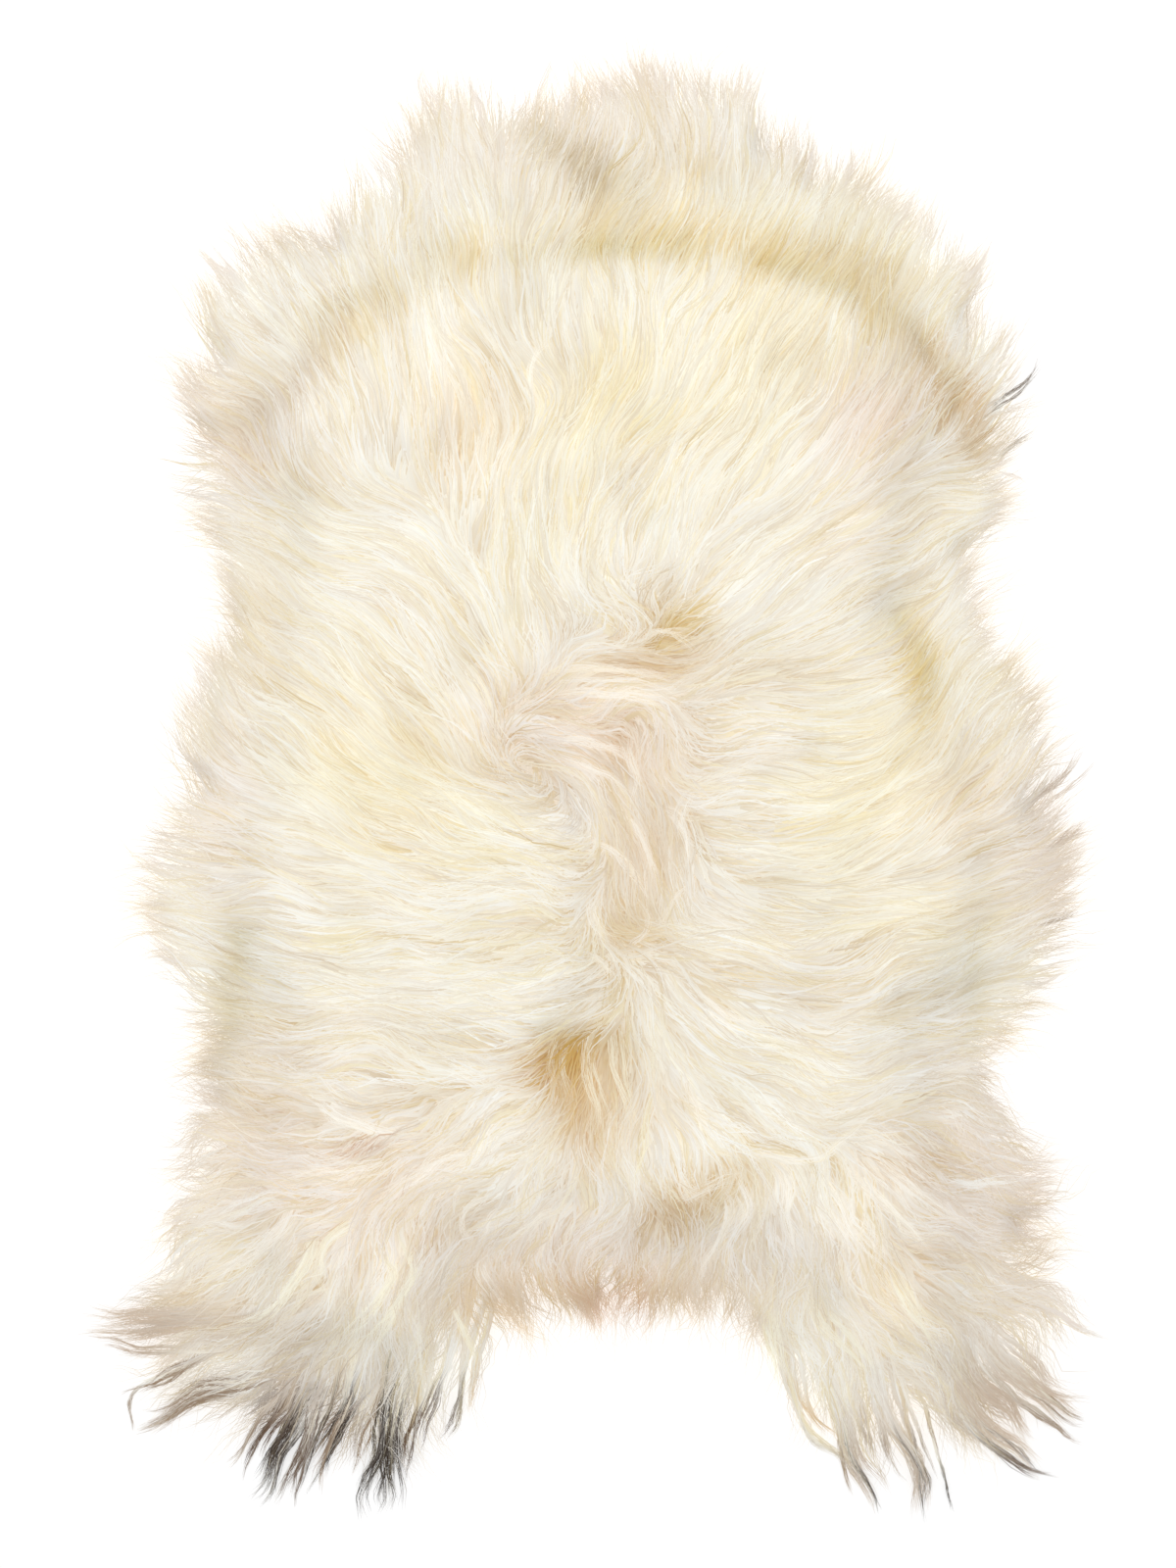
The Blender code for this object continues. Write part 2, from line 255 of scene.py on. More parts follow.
def mottle(places, size, seed):
    """Soft random values from 0 to 1 that change over about size."""
    cells = np.random.default_rng(seed).random((NOISE_CELLS, NOISE_CELLS))
    along = places / size
    cell = np.floor(along).astype(int)
    part = along - cell
    part = part * part * (3 - 2 * part)
    i, j = cell[..., 0] % NOISE_CELLS, cell[..., 1] % NOISE_CELLS
    i1, j1 = (i + 1) % NOISE_CELLS, (j + 1) % NOISE_CELLS
    u, v = part[..., 0], part[..., 1]
    return ((cells[i, j] * (1 - u) + cells[i1, j] * u) * (1 - v)
            + (cells[i, j1] * (1 - u) + cells[i1, j1] * u) * v)

def wandering(places, seed, size=26 * MM, far=9 * MM):
    """The places, each moved by up to far, near ones alike: it makes straight lines and ovals irregular."""
    push = np.stack([mottle(places, size, seed), mottle(places, size, seed + 1)], -1)
    return places + far * (2 * push - 1)

def distance_from(line, places):
    """How far the places (..., 2) are from a line of points."""
    nearest = np.full(places.shape[:-1], np.inf)
    for a, b in zip(line[:-1], line[1:]):
        run = b - a
        t = np.clip(((places - a) @ run) / (run @ run), 0, 1)
        nearest = np.minimum(nearest, np.linalg.norm(places - a - t[..., None] * run, axis=-1))
    return nearest

grid_places = np.stack(np.meshgrid(grid_x, grid_y, indexing="ij"), -1)
print("noise on the grid:", mottle(grid_places, 30 * MM, 1).mean().round(2), "on average")

# %% The pile with its swells and creases
FULL_SWELL = 30 * MM               # where the pile is at least this high, the swells have their full height
SWELL_SHADE = 0.3                  # how much painted crease shade falls in the dips between two swells
FAINTEST, UNEVEN = 0.1, 1.3        # the least of a crease's depth, and what the noise adds to that
UNEVEN_SIZE = 30 * MM
DEEP_CREASE = 4                    # mm: one this deep has its full painted shade

swell = sum(height * 2 * (mottle(grid_places, size, seed) - 0.5) for size, height, seed in SWELLS)
pile = np.maximum(pile + swell * np.clip(pile / FULL_SWELL, 0, 1), 0)
# painted shade in the dips between the swells; the creases add theirs below
crease_shade = np.clip(-SWELL_SHADE * swell / (3 * MM), 0, 1)
for depth, half_width, *line in CREASES.values():
    away = distance_from(np.array(line) * MM, wandering(grid_places, 51)) / (half_width * MM)
    dip = depth * np.exp(-away ** 2) * (FAINTEST + UNEVEN * mottle(grid_places, UNEVEN_SIZE, 5))
    pile = pile - np.minimum(dip * MM, 0.5 * pile)
    crease_shade = crease_shade + dip / DEEP_CREASE
print("pile with its creases:", round(pile.max() / MM, 1), "mm at its highest")

# %% [markdown]
# ## Which way the wool lies
#
# Wool grows in a lay, as grain does in wood. On this skin it falls to both sides of a parting that runs down
# the back in an S, turns in two whorls there, and fans out over the shoulders, flanks and legs. The table
# holds that lay at places which were looked at one by one: where each is, and which way the hair points.
# Between them the direction is a weighted mean, in which near places count far more than distant ones. Where
# two neighbours point apart, the mean flips over a short way, and that is just what a parting is.

# %% Lay of the wool
LAY = {
    # part of the skin: (x in mm, y in mm, heading in degrees: 0 to the right, 90 to the neck), ...
    "neck": (
        (-127, 516, 100), (-89, 501, 97), (-40, 501, 72), (-170, 459, 108), (-141, 444, 100),
        (-98, 415, 97), (-26, 415, 70), (31, 544, 100), (59, 544, 88), (85, 522, 97), (117, 544, 68),
        (136, 507, 85), (8, 459, 62), (51, 487, 90), (108, 473, 85), (22, 415, 62), (51, 441, 70),
    ),
    "left shoulder": (
        (-213, 424, 125), (-270, 387, 122), (-308, 372, 110), (-256, 329, 140), (-213, 344, 125),
        (-314, 329, 130), (-284, 286, 150), (-314, 243, 165), (-170, 387, 110), (-155, 344, 100),
        (-199, 315, 112), (-170, 272, 96), (-227, 272, 118), (-250, 249, 122), (-224, 261, 108),
        (-198, 227, 135),
    ),
    "right shoulder": (
        (171, 493, 68), (202, 487, 72), (151, 453, 65), (188, 444, 52), (223, 424, 48), (260, 424, 75),
        (295, 387, 60), (309, 321, 65), (332, 321, 50), (280, 344, 65), (237, 349, 65), (251, 321, 60),
        (295, 292, 50), (323, 263, 32), (309, 234, 8), (256, 252, 18), (256, 229, 5), (269, 273, 60),
    ),
    "withers, left": (
        (-69, 372, 100), (-98, 315, 122), (-69, 344, 108), (-26, 344, 95), (-53, 300, 125),
        (-119, 247, 94), (-80, 221, 78), (-148, 201, 165), (-172, 182, 178), (-263, 203, 154),
        (-263, 161, 145),
    ),
    "withers, right": (
        (22, 358, 92), (8, 387, 105), (94, 401, 70), (80, 372, 62), (108, 358, 62), (136, 372, 65),
        (166, 329, 62), (194, 358, 64), (208, 372, 62), (208, 315, 64), (251, 286, 55), (33, 313, 72),
        (72, 287, 58), (-27, 274, 58), (138, 300, 58), (190, 326, 70), (230, 261, 38), (190, 261, 52),
    ),
    "right flank": (
        (46, 247, 60), (86, 234, 50), (124, 261, 52), (151, 221, 45), (230, 195, 28), (178, 182, 35),
        (138, 156, 30), (98, 182, 45), (59, 195, 60), (20, 221, 70), (7, 182, 84), (46, 156, 50),
        (86, 134, 30), (124, 116, 25), (178, 116, 22), (209, 134, 34), (230, 168, 36), (269, 156, 44),
        (296, 168, 40), (256, 129, 42), (243, 103, 50), (283, 116, 40),
    ),
    "right side": (
        (256, 77, 58), (309, 77, 45), (335, 77, 36), (112, 77, 8), (164, 77, 8), (217, 77, 16),
        (124, 37, 3), (190, 37, 14), (230, 37, 38), (269, 37, 50), (309, 37, 50), (124, -3, 3),
        (178, -3, 8), (230, 11, 36), (269, -3, 40), (309, 3, 58), (349, 3, 45), (152, -48, 8),
        (204, -39, 20), (230, -13, 40), (256, -27, 42), (283, -39, 20), (322, -34, 20), (356, 0, 48),
        (349, -48, 28), (217, -87, 8), (243, -108, 15), (178, -102, 5), (138, -97, -4), (217, -142, 26),
        (283, -92, 10), (335, -92, 15), (362, -95, 24), (309, -145, 10), (256, -158, 14),
        (164, -158, 4), (190, -192, 0), (243, -192, 8), (296, -198, 5),
    ),
    "left flank": (
        (-245, 135, 140), (-198, 135, 155), (-146, 156, 150), (-106, 156, 132), (-71, 182, 76),
        (-198, 103, 140), (-146, 103, 138), (-93, 103, 124), (-58, 98, 104), (-61, 122, 100),
        (-290, 77, 118), (-263, 77, 126), (-316, 37, 124), (-250, 37, 150), (-198, 37, 144),
        (-146, 51, 140), (-93, 37, 130), (-303, -2, 146), (-250, -2, 157), (-197, 13, 145),
        (-145, 0, 148), (-118, -27, 155), (-66, -13, 155),
    ),
    "left side": (
        (-303, -27, 160), (-334, -58, 172), (-250, -27, 160), (-197, -27, 150), (-145, -60, 165),
        (-211, -66, 166), (-277, -66, 176), (-263, -87, -170), (-303, -113, 168), (-329, -132, 145),
        (-250, -118, 176), (-197, -132, 178), (-145, -123, 178), (-92, -113, -174), (-224, -158, 175),
        (-158, -171, 170), (-92, -158, 172), (-250, -184, 178), (-197, -198, 178), (-132, -198, 162),
        (-92, -210, 162), (-277, -210, 178), (-303, -224, 176),
    ),
    "middle of the back": (
        (-7, 182, 88), (58, 165, 62), (23, 135, 150), (-26, 133, 112), (-52, 111, 96), (-37, 84, 55),
        (-7, 98, 14), (31, 84, -12), (68, 77, 24), (83, 92, 40), (8, 56, 48), (30, 68, 4),
        (50, 54, -60), (44, 45, -110), (98, 51, 2), (98, 9, 4), (83, -7, 22), (61, -36, -82),
        (70, -58, -90), (-42, 36, -24), (-29, 43, -32), (-7, 24, -38), (23, 2, -62), (34, -6, -75),
        (31, -36, -62), (42, -58, -70), (49, -84, -88), (20, -16, -58), (25, 36, -74), (-59, -51, 168),
        (-22, -58, 162), (-40, -48, 170),
    ),
    "lower whorl": (
        (-4, -93, -110), (12, -111, -30), (31, -114, 25), (23, -92, -70), (-26, -92, 155),
        (-7, -137, -160), (-26, -149, -160), (-2, -168, -142), (-38, -189, -164), (-54, -173, 178),
        (-73, -139, 174), (-109, -189, 172), (-133, -211, 158), (54, -145, -60), (72, -118, -14),
        (72, -163, -45), (98, -187, -30), (138, -192, -12), (98, -79, -18), (112, -48, 4),
        (86, -39, -8), (124, -145, -14), (33, -184, -78), (46, -195, -64),
    ),
    "loin": (
        (-50, -207, -148), (-28, -218, -102), (-4, -211, -94), (20, -211, -76), (59, -210, -64),
        (98, -224, -50), (138, -224, -32), (178, -224, -8), (217, -219, 6), (256, -237, 0),
        (296, -237, -3), (20, -250, -84), (59, -263, -62), (98, -263, -46), (138, -263, -18),
        (178, -255, -2), (217, -271, -20), (256, -276, -20), (296, -276, -10), (335, -271, -8),
        (-61, -235, -144), (-97, -245, -154), (-133, -254, -155), (-85, -273, -144), (-38, -266, -128),
        (-8, -266, -94), (16, -273, -76),
    ),
    "left haunch": (
        (-250, -245, 176), (-197, -237, 158), (-145, -250, -174), (-197, -271, -170),
        (-158, -268, -160), (-250, -271, -179), (-303, -271, -178), (-277, -303, -166),
        (-224, -297, -152), (-171, -289, -150), (-118, -276, -150), (-66, -263, -140),
        (-80, -303, -134), (-301, -313, -170), (-262, -327, -160), (-182, -313, -150),
        (-156, -300, -154), (-61, -314, -138), (-90, -330, -112), (-121, -314, -144),
    ),
    "right haunch": (
        (138, -303, -72), (178, -297, -60), (217, -303, -52), (256, -303, -38), (296, -316, -18),
        (101, -326, -88), (130, -338, -78), (154, -350, -76), (190, -314, -62), (164, -295, -64),
        (296, -300, -14), (256, -327, -40), (283, -339, -25), (335, -327, -5), (322, -353, -10),
        (217, -339, -64), (230, -366, -60),
    ),
    "rump": (
        (78, -254, -58), (58, -290, -60), (-2, -306, -104), (-26, -314, -124), (-14, -345, -92),
        (22, -350, -90), (58, -338, -94), (82, -338, -104), (10, -398, -96), (46, -398, -90),
        (82, -398, -91), (-26, -398, -94), (-50, -398, -76), (-73, -386, -62), (130, -398, -88),
        (98, -432, -85),
    ),
    "left leg": (
        (-222, -339, -134), (-262, -366, -146), (-301, -371, -160), (-327, -392, -172),
        (-262, -408, -170), (-340, -411, 179), (-288, -424, -174), (-235, -392, -134),
        (-196, -366, -106), (-196, -405, -112), (-156, -353, -92), (-156, -392, -100),
        (-130, -392, -92), (-104, -392, -80), (-77, -392, -62), (-51, -379, -74), (-90, -354, -104),
        (-235, -432, -120), (-208, -445, -120), (-182, -445, -105), (-156, -445, -100),
        (-124, -445, -104), (-98, -445, -104), (-288, -458, -154), (-314, -442, -155),
        (-314, -471, -155), (-248, -484, -115), (-235, -510, -115), (-196, -484, -114),
        (-170, -510, -98),
    ),
    "right leg": (
        (133, -432, -85), (152, -471, -70), (164, -432, -76), (178, -458, -70), (194, -498, -78),
        (217, -432, -70), (230, -484, -74), (243, -405, -60), (243, -432, -60), (269, -419, -56),
        (283, -471, -50), (322, -484, -40), (309, -432, -42), (349, -458, -35), (362, -405, -32),
        (322, -379, -20), (283, -379, -36), (178, -366, -82), (152, -392, -84),
    ),
}
print(sum(len(rows) for rows in LAY.values()), "readings of the lay on", len(LAY), "parts of the skin")

# %% The lay between the readings
LAY_SOFTNESS = 11 * MM             # how far the pull of one reading stays even
LAY_POWER = 2.6                    # how fast it falls off beyond that

def read_lay():
    """The direction in which the wool lies, as a unit vector at each point of the grid."""
    rows = np.array([row for rows in LAY.values() for row in rows], float)
    places = rows[:, :2] * MM
    headings = np.radians(rows[:, 2])
    gx, gy = np.meshgrid(grid_x, grid_y, indexing="ij")
    total = np.zeros((*grid_size, 2))
    for (x, y), heading in zip(places, headings):
        weight = ((gx - x) ** 2 + (gy - y) ** 2 + LAY_SOFTNESS ** 2) ** -LAY_POWER
        total += weight[..., None] * (math.cos(heading), math.sin(heading))
    return total / np.linalg.norm(total, axis=-1, keepdims=True)

def turned(vectors, angles):
    """Plan vectors turned to the left by angles."""
    c, s = np.cos(angles), np.sin(angles)
    return np.stack([vectors[..., 0] * c - vectors[..., 1] * s,
                     vectors[..., 0] * s + vectors[..., 1] * c], -1)

def unit(vectors):
    """The vectors at length 1."""
    return vectors / np.maximum(np.linalg.norm(vectors, axis=-1, keepdims=True), 1e-9)

plain_lay = read_lay()
print("at the middle of the rug the wool lies", at(plain_lay, np.zeros(2)).round(2))

# %% [markdown]
# Real wool never lies quite straight, so two sizes of lazy waves turn the lay a little, and more so on the
# haunches and legs. The same grid also tells where the parting is: a blurred mean of the directions gets
# short where neighbours point apart, and the wool of the parting itself lies along it.

# %% Waves and the parting
WAVES = ((30 * MM, 17), (15 * MM, 9))      # size of the waves in the wool, and how far they turn it (degrees)
HAUNCH_LINE = -0.16                # the wool further back than this is that of the haunches and legs
HAUNCH_BLEND = 0.12
HAUNCH_SWING = 1.1                 # how much stronger the waves get there
PARTING_BLUR = 13 * MM
PARTED = 0.7                       # the wool parts where neighbours agree less than this

swing = sum(math.radians(angle) * 2 * (mottle(grid_places, size, 11 + k) - 0.5)
            for k, (size, angle) in enumerate(WAVES))
swing *= 1 + HAUNCH_SWING * np.clip((HAUNCH_LINE - grid_places[..., 1]) / HAUNCH_BLEND, 0, 1)
lay = turned(plain_lay, swing)
mean_lay = blurred(plain_lay, PARTING_BLUR)
agreement = np.linalg.norm(mean_lay, axis=-1)
along_parting = turned(unit(mean_lay), swing)
print("the wool parts over", round((agreement < PARTED).mean() * 100, 1), "% of the grid")

# %% [markdown]
# ## The skin
#
# Under the wool lies the tanned hide, about 1.5 mm thick. Its edge stays well inside the wool, because the
# hair at the rim reaches past it. From above it never shows, but the rug has a real underside when it is
# picked up: pale suede, a little uneven in colour, lying flat. It is cut as one smooth outline.

# %% The outline of the hide
HIDE_EDGE = {
    # place on the edge: (x in mm, y in mm)
    "neck": (2, 486), "neck, right": (84, 492), "right of the neck": (142, 444),
    "right shoulder, top": (205, 408), "right shoulder": (252, 350), "right shoulder, low": (282, 288),
    "right flank": (270, 214), "right waist": (254, 136), "right side, top": (284, 72),
    "right side": (312, 4), "right side, widest": (323, -72), "right side, low": (306, -144),
    "right notch": (270, -200), "right haunch, top": (284, -258), "right haunch": (303, -326),
    "right leg, side": (290, -388), "right leg, end": (244, -436), "right leg, inner side": (176, -420),
    "crotch, right": (124, -378), "rump, right": (56, -356), "rump, left": (-22, -356),
    "crotch, left": (-84, -372), "left leg, inner side": (-130, -408), "left leg, end": (-198, -436),
    "left leg, side": (-272, -412), "left leg, top": (-290, -362), "left haunch": (-280, -290),
    "left haunch, top": (-264, -218), "left notch": (-268, -150), "left side, low": (-290, -86),
    "left side": (-278, 0), "left side, top": (-256, 72), "left waist": (-240, 132),
    "left flank": (-254, 196), "left shoulder, low": (-276, 262), "left shoulder": (-262, 334),
    "left shoulder, top": (-214, 384), "left of the neck": (-152, 418), "neck, left": (-116, 472),
    "neck, left end": (-62, 488),
}
print(len(HIDE_EDGE), "places on the edge of the hide")

# %% The outline as a curve
EDGE_STEPS = 6                     # points between two named ones

def smooth_outline(points, steps):
    """A closed smooth curve through the points (Catmull-Rom)."""
    curve = []
    count = len(points)
    for i in range(count):
        a, b, c, d = (points[(i + k) % count] for k in (-1, 0, 1, 2))
        for k in range(steps):
            t = k / steps
            curve.append(0.5 * (2 * b + (c - a) * t + (2 * a - 5 * b + 4 * c - d) * t ** 2
                                + (3 * b - a - 3 * c + d) * t ** 3))
    return np.array(curve)

def inside(outline, places):
    """Which of the places (N, 2) lie within the outline."""
    x, y = places[:, 0], places[:, 1]
    found = np.zeros(len(places), bool)
    for (x0, y0), (x1, y1) in zip(outline, np.roll(outline, -1, axis=0)):
        crosses = (y0 > y) != (y1 > y)
        if y0 != y1:
            found ^= crosses & (x < (x1 - x0) * (y - y0) / (y1 - y0) + x0)
    return found

edge = smooth_outline(np.array(list(HIDE_EDGE.values()), float) * MM, EDGE_STEPS)

# %% [markdown]
# ## Where strands grow
#
# Hair doesn't grow evenly spread at the scale of the eye: a tuft of skin feeds one lock. So the script first
# sets the roots of the locks on a shaken grid, then traces each lock's middle line along the lay, and last
# draws the strands of that lock round it, close together at the tip and further apart at the root.

# %% Roots and traced lines
rng = np.random.default_rng(7)
TRACE_STEPS = 24                   # points on a traced line
STIFFNESS = 0.55                   # how much of its old direction a lock keeps at each step
FLOOR_CLEAR = 0.6 * MM

def shaken_grid(step, shake=0.5):
    """Even places over the hide, each moved by a random part of the step."""
    x = np.arange(edge[:, 0].min(), edge[:, 0].max(), step)
    y = np.arange(edge[:, 1].min(), edge[:, 1].max(), step)
    places = np.stack(np.meshgrid(x, y, indexing="ij"), -1).reshape(-1, 2)
    places = places + rng.uniform(-shake, shake, places.shape) * step
    return places[inside(edge, places)]

def trace(roots, lengths, lean, directions=None):
    """Lines that follow the lay from the roots: (N, TRACE_STEPS + 1, 2). lean turns each line a little."""
    directions = lay if directions is None else directions
    line = np.zeros((len(roots), TRACE_STEPS + 1, 2))
    line[:, 0] = roots
    heading = turned(unit(at(directions, roots)), lean)
    step = (lengths / TRACE_STEPS)[:, None]
    for k in range(TRACE_STEPS):
        wanted = turned(unit(at(directions, line[:, k])), lean)
        heading = unit(STIFFNESS * heading + (1 - STIFFNESS) * wanted)
        line[:, k + 1] = line[:, k] + heading * step
    return line

def sides(line):
    """The direction across each point of the lines, to the left."""
    along = unit(np.gradient(line, axis=1))
    return np.stack([-along[..., 1], along[..., 0]], -1)

print("each lock is traced in", TRACE_STEPS, "steps")

# %% [markdown]
# ## Colour
#
# The fleece is cream, but never one cream: yellower where grease stayed in the wool, rosy and grey along the
# rim and the back, olive where the wool opens and the old undercoat shows, and nearly black at the tips of
# the hind legs. The names below are those colours, given as they look on a screen.

# %% Colours of the wool
def paint(red, green, blue):
    """A colour given as on a screen, 0 to 255, as the linear values that a shader takes."""
    c = np.array([red, green, blue]) / 255
    return np.where(c <= 0.04045, c / 12.92, ((c + 0.055) / 1.055) ** 2.4)

PALE = paint(250, 248, 241)
CREAM = paint(246, 248, 246)
VEIL = paint(249, 247, 243)
YELLOW = paint(247, 246, 229)
ROSY = paint(242, 236, 231)
MIST = paint(230, 222, 214)
FAWN = paint(207, 190, 171)
TAUPE = paint(188, 168, 148)
OLIVE = paint(232, 217, 168)
TAN = paint(218, 193, 152)
GOLD = paint(226, 206, 154)
HONEY = paint(213, 179, 104)
STRAW = paint(240, 223, 162)
GREY = paint(212, 207, 201)
OLIVE_GREY = paint(204, 190, 156)
RUST = paint(206, 164, 130)
ASH = paint(152, 129, 106)
BROWN = paint(94, 68, 48)
BLACK = paint(38, 20, 9)
print("cream, as a shader takes it:", CREAM.round(3))

# %% [markdown]
# Each coloured place is a soft oval patch in a table, from the broad ones to the small ones, and a later patch
# lies over the ones before it. Every point of every strand takes the colour of the patches around it. Soft
# noise makes the ovals irregular, and each strand looks from a slightly shifted place, so that the patches end
# in streaks. A few patches are painted light or painted shade, as the table says. A second table colours only
# the ends of strands, which is how the dark tips of the legs grow.

# %% Patches of colour
PATCHES = (
    # colour, x (mm), y (mm), half length (mm), half width (mm), heading, strength
    # yellow grease in the wool of the flanks, the shoulders and the withers
    (YELLOW, -157, 9, 90, 60, 150, 0.7), (YELLOW, 218, 2, 90, 50, 60, 0.6),
    (YELLOW, 263, -103, 50, 40, 20, 0.5), (YELLOW, 130, 330, 110, 60, 60, 0.6),
    (YELLOW, 60, 420, 120, 35, 0, 0.6), (YELLOW, -60, 240, 90, 70, 90, 0.3),
    (YELLOW, 10, 290, 50, 40, 60, 0.8),
    # clean, pale wool at the right leg, and painted light on three slopes that the lamp leaves in shade:
    # the right side, the left of the withers and the right flank
    (PALE, 228, -415, 60, 40, -70, 0.8), (PALE, 278, -22, 60, 40, 90, 0.9),
    (PALE, -97, 279, 50, 34, 90, 0.9), (PALE, 235, 190, 60, 40, 60, 0.6),
    # rosy wool along the rim, over the back and on the haunches, and misty places of the rim; at the rim they
    # are partly painted shade where the wool falls over the edge of the hide
    (ROSY, -284, 264, 60, 60, 90, 0.6), (ROSY, -7, 39, 45, 90, 90, 0.7), (ROSY, 293, -298, 90, 60, 90, 0.7),
    (ROSY, 0, -360, 180, 40, 0, 0.7), (ROSY, -290, 0, 90, 35, 90, 0.5), (ROSY, 210, 280, 50, 40, 60, 0.8),
    (ROSY, 340, -40, 90, 40, 90, 0.4), (ROSY, -260, -270, 80, 60, 90, 0.7),
    (ROSY, -30, 500, 120, 40, 0, 0.4), (ROSY, -160, -300, 70, 40, 20, 0.6),
    (MIST, 350, -44, 70, 26, 90, 0.6), (MIST, 338, -320, 60, 26, 80, 0.7), (MIST, 40, 540, 50, 22, 0, 0.3),
    # the wool over the tail
    (TAN, -10, -396, 100, 18, 0, 0.7), (TAN, 24, -392, 34, 16, 0, 0.7),
    # the creases of the neck, the shoulders and the waist, and an olive-grey painted shadow at the neck
    (OLIVE, 150, 402, 90, 16, -12, 0.7), (STRAW, 248, 90, 42, 12, 105, 0.9),
    (OLIVE, 60, 122, 20, 13, 0, 1.0), (OLIVE, -97, 397, 24, 12, 20, 0.6),
    (OLIVE, 213, 356, 40, 14, -45, 0.7), (OLIVE, 70, 468, 60, 8, 0, 0.5),
    (OLIVE_GREY, -14, 476, 46, 15, -42, 0.8), (OLIVE, 2, 430, 34, 14, 50, 0.4),
    (OLIVE, 60, 408, 50, 12, 0, 0.75),
    # the hollow over the loin, and two places beside it
    (TAN, -30, -203, 30, 13, 25, 0.9), (HONEY, -12, -205, 30, 15, 10, 0.95),
    (HONEY, -14, -220, 30, 24, 90, 0.35), (HONEY, -8, -240, 44, 30, 90, 0.6),
    (TAN, 53, -238, 24, 24, 0, 0.17), (FAWN, 185, -148, 44, 26, 0, 0.17),
    # the ends of the shoulder creases, a painted shadow under the fold of the left shoulder, the spine, the
    # tangle and the left waist
    (TAN, 272, 300, 50, 10, -52, 0.9), (TAN, 288, 262, 20, 10, -60, 0.5), (FAWN, -222, 318, 60, 9, 49, 0.5),
    (TAN, 42, 96, 42, 15, 0, 0.7), (TAN, 38, -50, 60, 26, 85, 0.45), (GOLD, 22, -108, 26, 18, 0, 0.6),
    (TAN, 20, 30, 26, 16, 90, 0.6), (OLIVE, -178, 352, 40, 14, 40, 0.5), (GOLD, 78, -308, 40, 14, 30, 0.7),
    (GOLD, -262, 136, 40, 30, 90, 0.3), (OLIVE_GREY, -276, -140, 45, 8, 90, 0.4),
    # grey places; the one at the left leg is painted shade between its locks
    (GREY, -292, -215, 26, 14, 90, 0.5), (GREY, 338, -20, 30, 14, 40, 0.3), (GREY, -18, -2, 9, 7, -30, 0.6),
    (GREY, -7, -24, 11, 6, 20, 0.6), (GREY, -256, -399, 24, 7, 20, 0.5),
    # brown streaks of painted shadow between the waves of the wool on the haunches
    (TAN, 60, -318, 30, 8, 30, 0.6), (TAN, -300, -395, 50, 12, 170, 0.35), (TAN, 240, -284, 34, 6, 3, 0.6),
    (RUST, -182, -278, 18, 4, 14, 0.8), (TAN, -120, -334, 20, 7, 0, 0.6),
    # the ends of the legs with painted grey shade between the locks of the left leg, and two thin places of
    # the rim
    (TAUPE, -330, -412, 60, 14, 178, 0.5), (TAUPE, -240, -462, 50, 18, 70, 0.6),
    (GREY, -164, -450, 30, 12, 70, 0.5), (TAUPE, 310, -472, 40, 22, -45, 0.6),
    (FAWN, 233, -488, 40, 22, 0, 0.45), (MIST, 323, -418, 34, 26, 0, 0.4),
    (VEIL, -284, 302, 30, 20, 50, 0.4), (VEIL, -314, -298, 34, 22, 80, 0.5),
    (TAUPE, -209, -466, 26, 16, 70, 0.5),
)

TIPS = (
    # colour, x (mm), y (mm) where strands end, how far around (mm), strength, share of their length
    (BROWN, -240, -500, 42, 0.75, 0.50), (BROWN, -160, -500, 26, 0.65, 0.45),
    (ASH, -200, -500, 30, 0.60, 0.45), (ASH, -310, -470, 32, 0.45, 0.45), (ASH, 300, -486, 34, 0.45, 0.30),
    (ASH, 345, -474, 26, 0.35, 0.30), (ASH, -370, -414, 34, 0.35, 0.40), (TAN, -70, -412, 50, 0.45, 0.60),
    (TAN, 84, -412, 46, 0.25, 0.60), (RUST, 16, -412, 24, 0.5, 0.55), (BLACK, 1, 318, 3, 0.85, 0.90),
    (BLACK, -163, -530, 28, 0.5, 0.40), (ASH, 230, -535, 44, 0.5, 0.30),
)

print(len(PATCHES), "patches and", len(TIPS), "coloured tips")

# %% Reading the patches
def patch_colours(places):
    """The colour of the fleece at places (..., 2)."""
    colours = np.broadcast_to(CREAM, (*places.shape[:-1], 3)).copy()
    places = wandering(places, 61)
    for colour, x, y, half_length, half_width, heading, strength in PATCHES:
        c, s = math.cos(math.radians(heading)), math.sin(math.radians(heading))
        away = places - np.array([x, y]) * MM
        along = (away[..., 0] * c + away[..., 1] * s) / (half_length * MM)
        across = (-away[..., 0] * s + away[..., 1] * c) / (half_width * MM)
        weight = strength * np.exp(-(along ** 2 + across ** 2))
        colours += (colour - colours) * weight[..., None]
    return colours

def colour_tips(colours, plan, runs):
    """Colours the strands that end near a place of the table. runs is 0 at their root and 1 at their tip."""
    for colour, x, y, around, strength, share in TIPS:
        away = np.linalg.norm(plan[:, -1] - np.array([x, y]) * MM, axis=-1) / (around * MM)
        ramp = np.clip((runs - (1 - share)) / (0.6 * share), 0, 1)
        weight = strength * np.exp(-away ** 4)[:, None] * ramp * ramp * (3 - 2 * ramp)
        colours = colours + (colour - colours) * weight[..., None]
    return colours

print("colour in the middle of the back:", patch_colours(np.zeros(2)).round(3))

# %% [markdown]
# ## From lines to strands
#
# A strand is a flat ribbon along its line: about 1 mm wide, which is a few hairs lying together, narrower at
# the root and running out to a point. It is turned about its own line by a random angle, so that each one
# catches the light a little differently, as hair does. But a fleece as a whole is shaded as one soft surface,
# so most of each strand's facing is borrowed from the pile under it.
#
# The mesh is filled from arrays: pairs of points along the line, four-cornered faces between them and a
# triangle at the tip. Each point also gets its colour and its place along and across the strand, for the
# shader, and each strand gets a small cell of its own in a UV map.

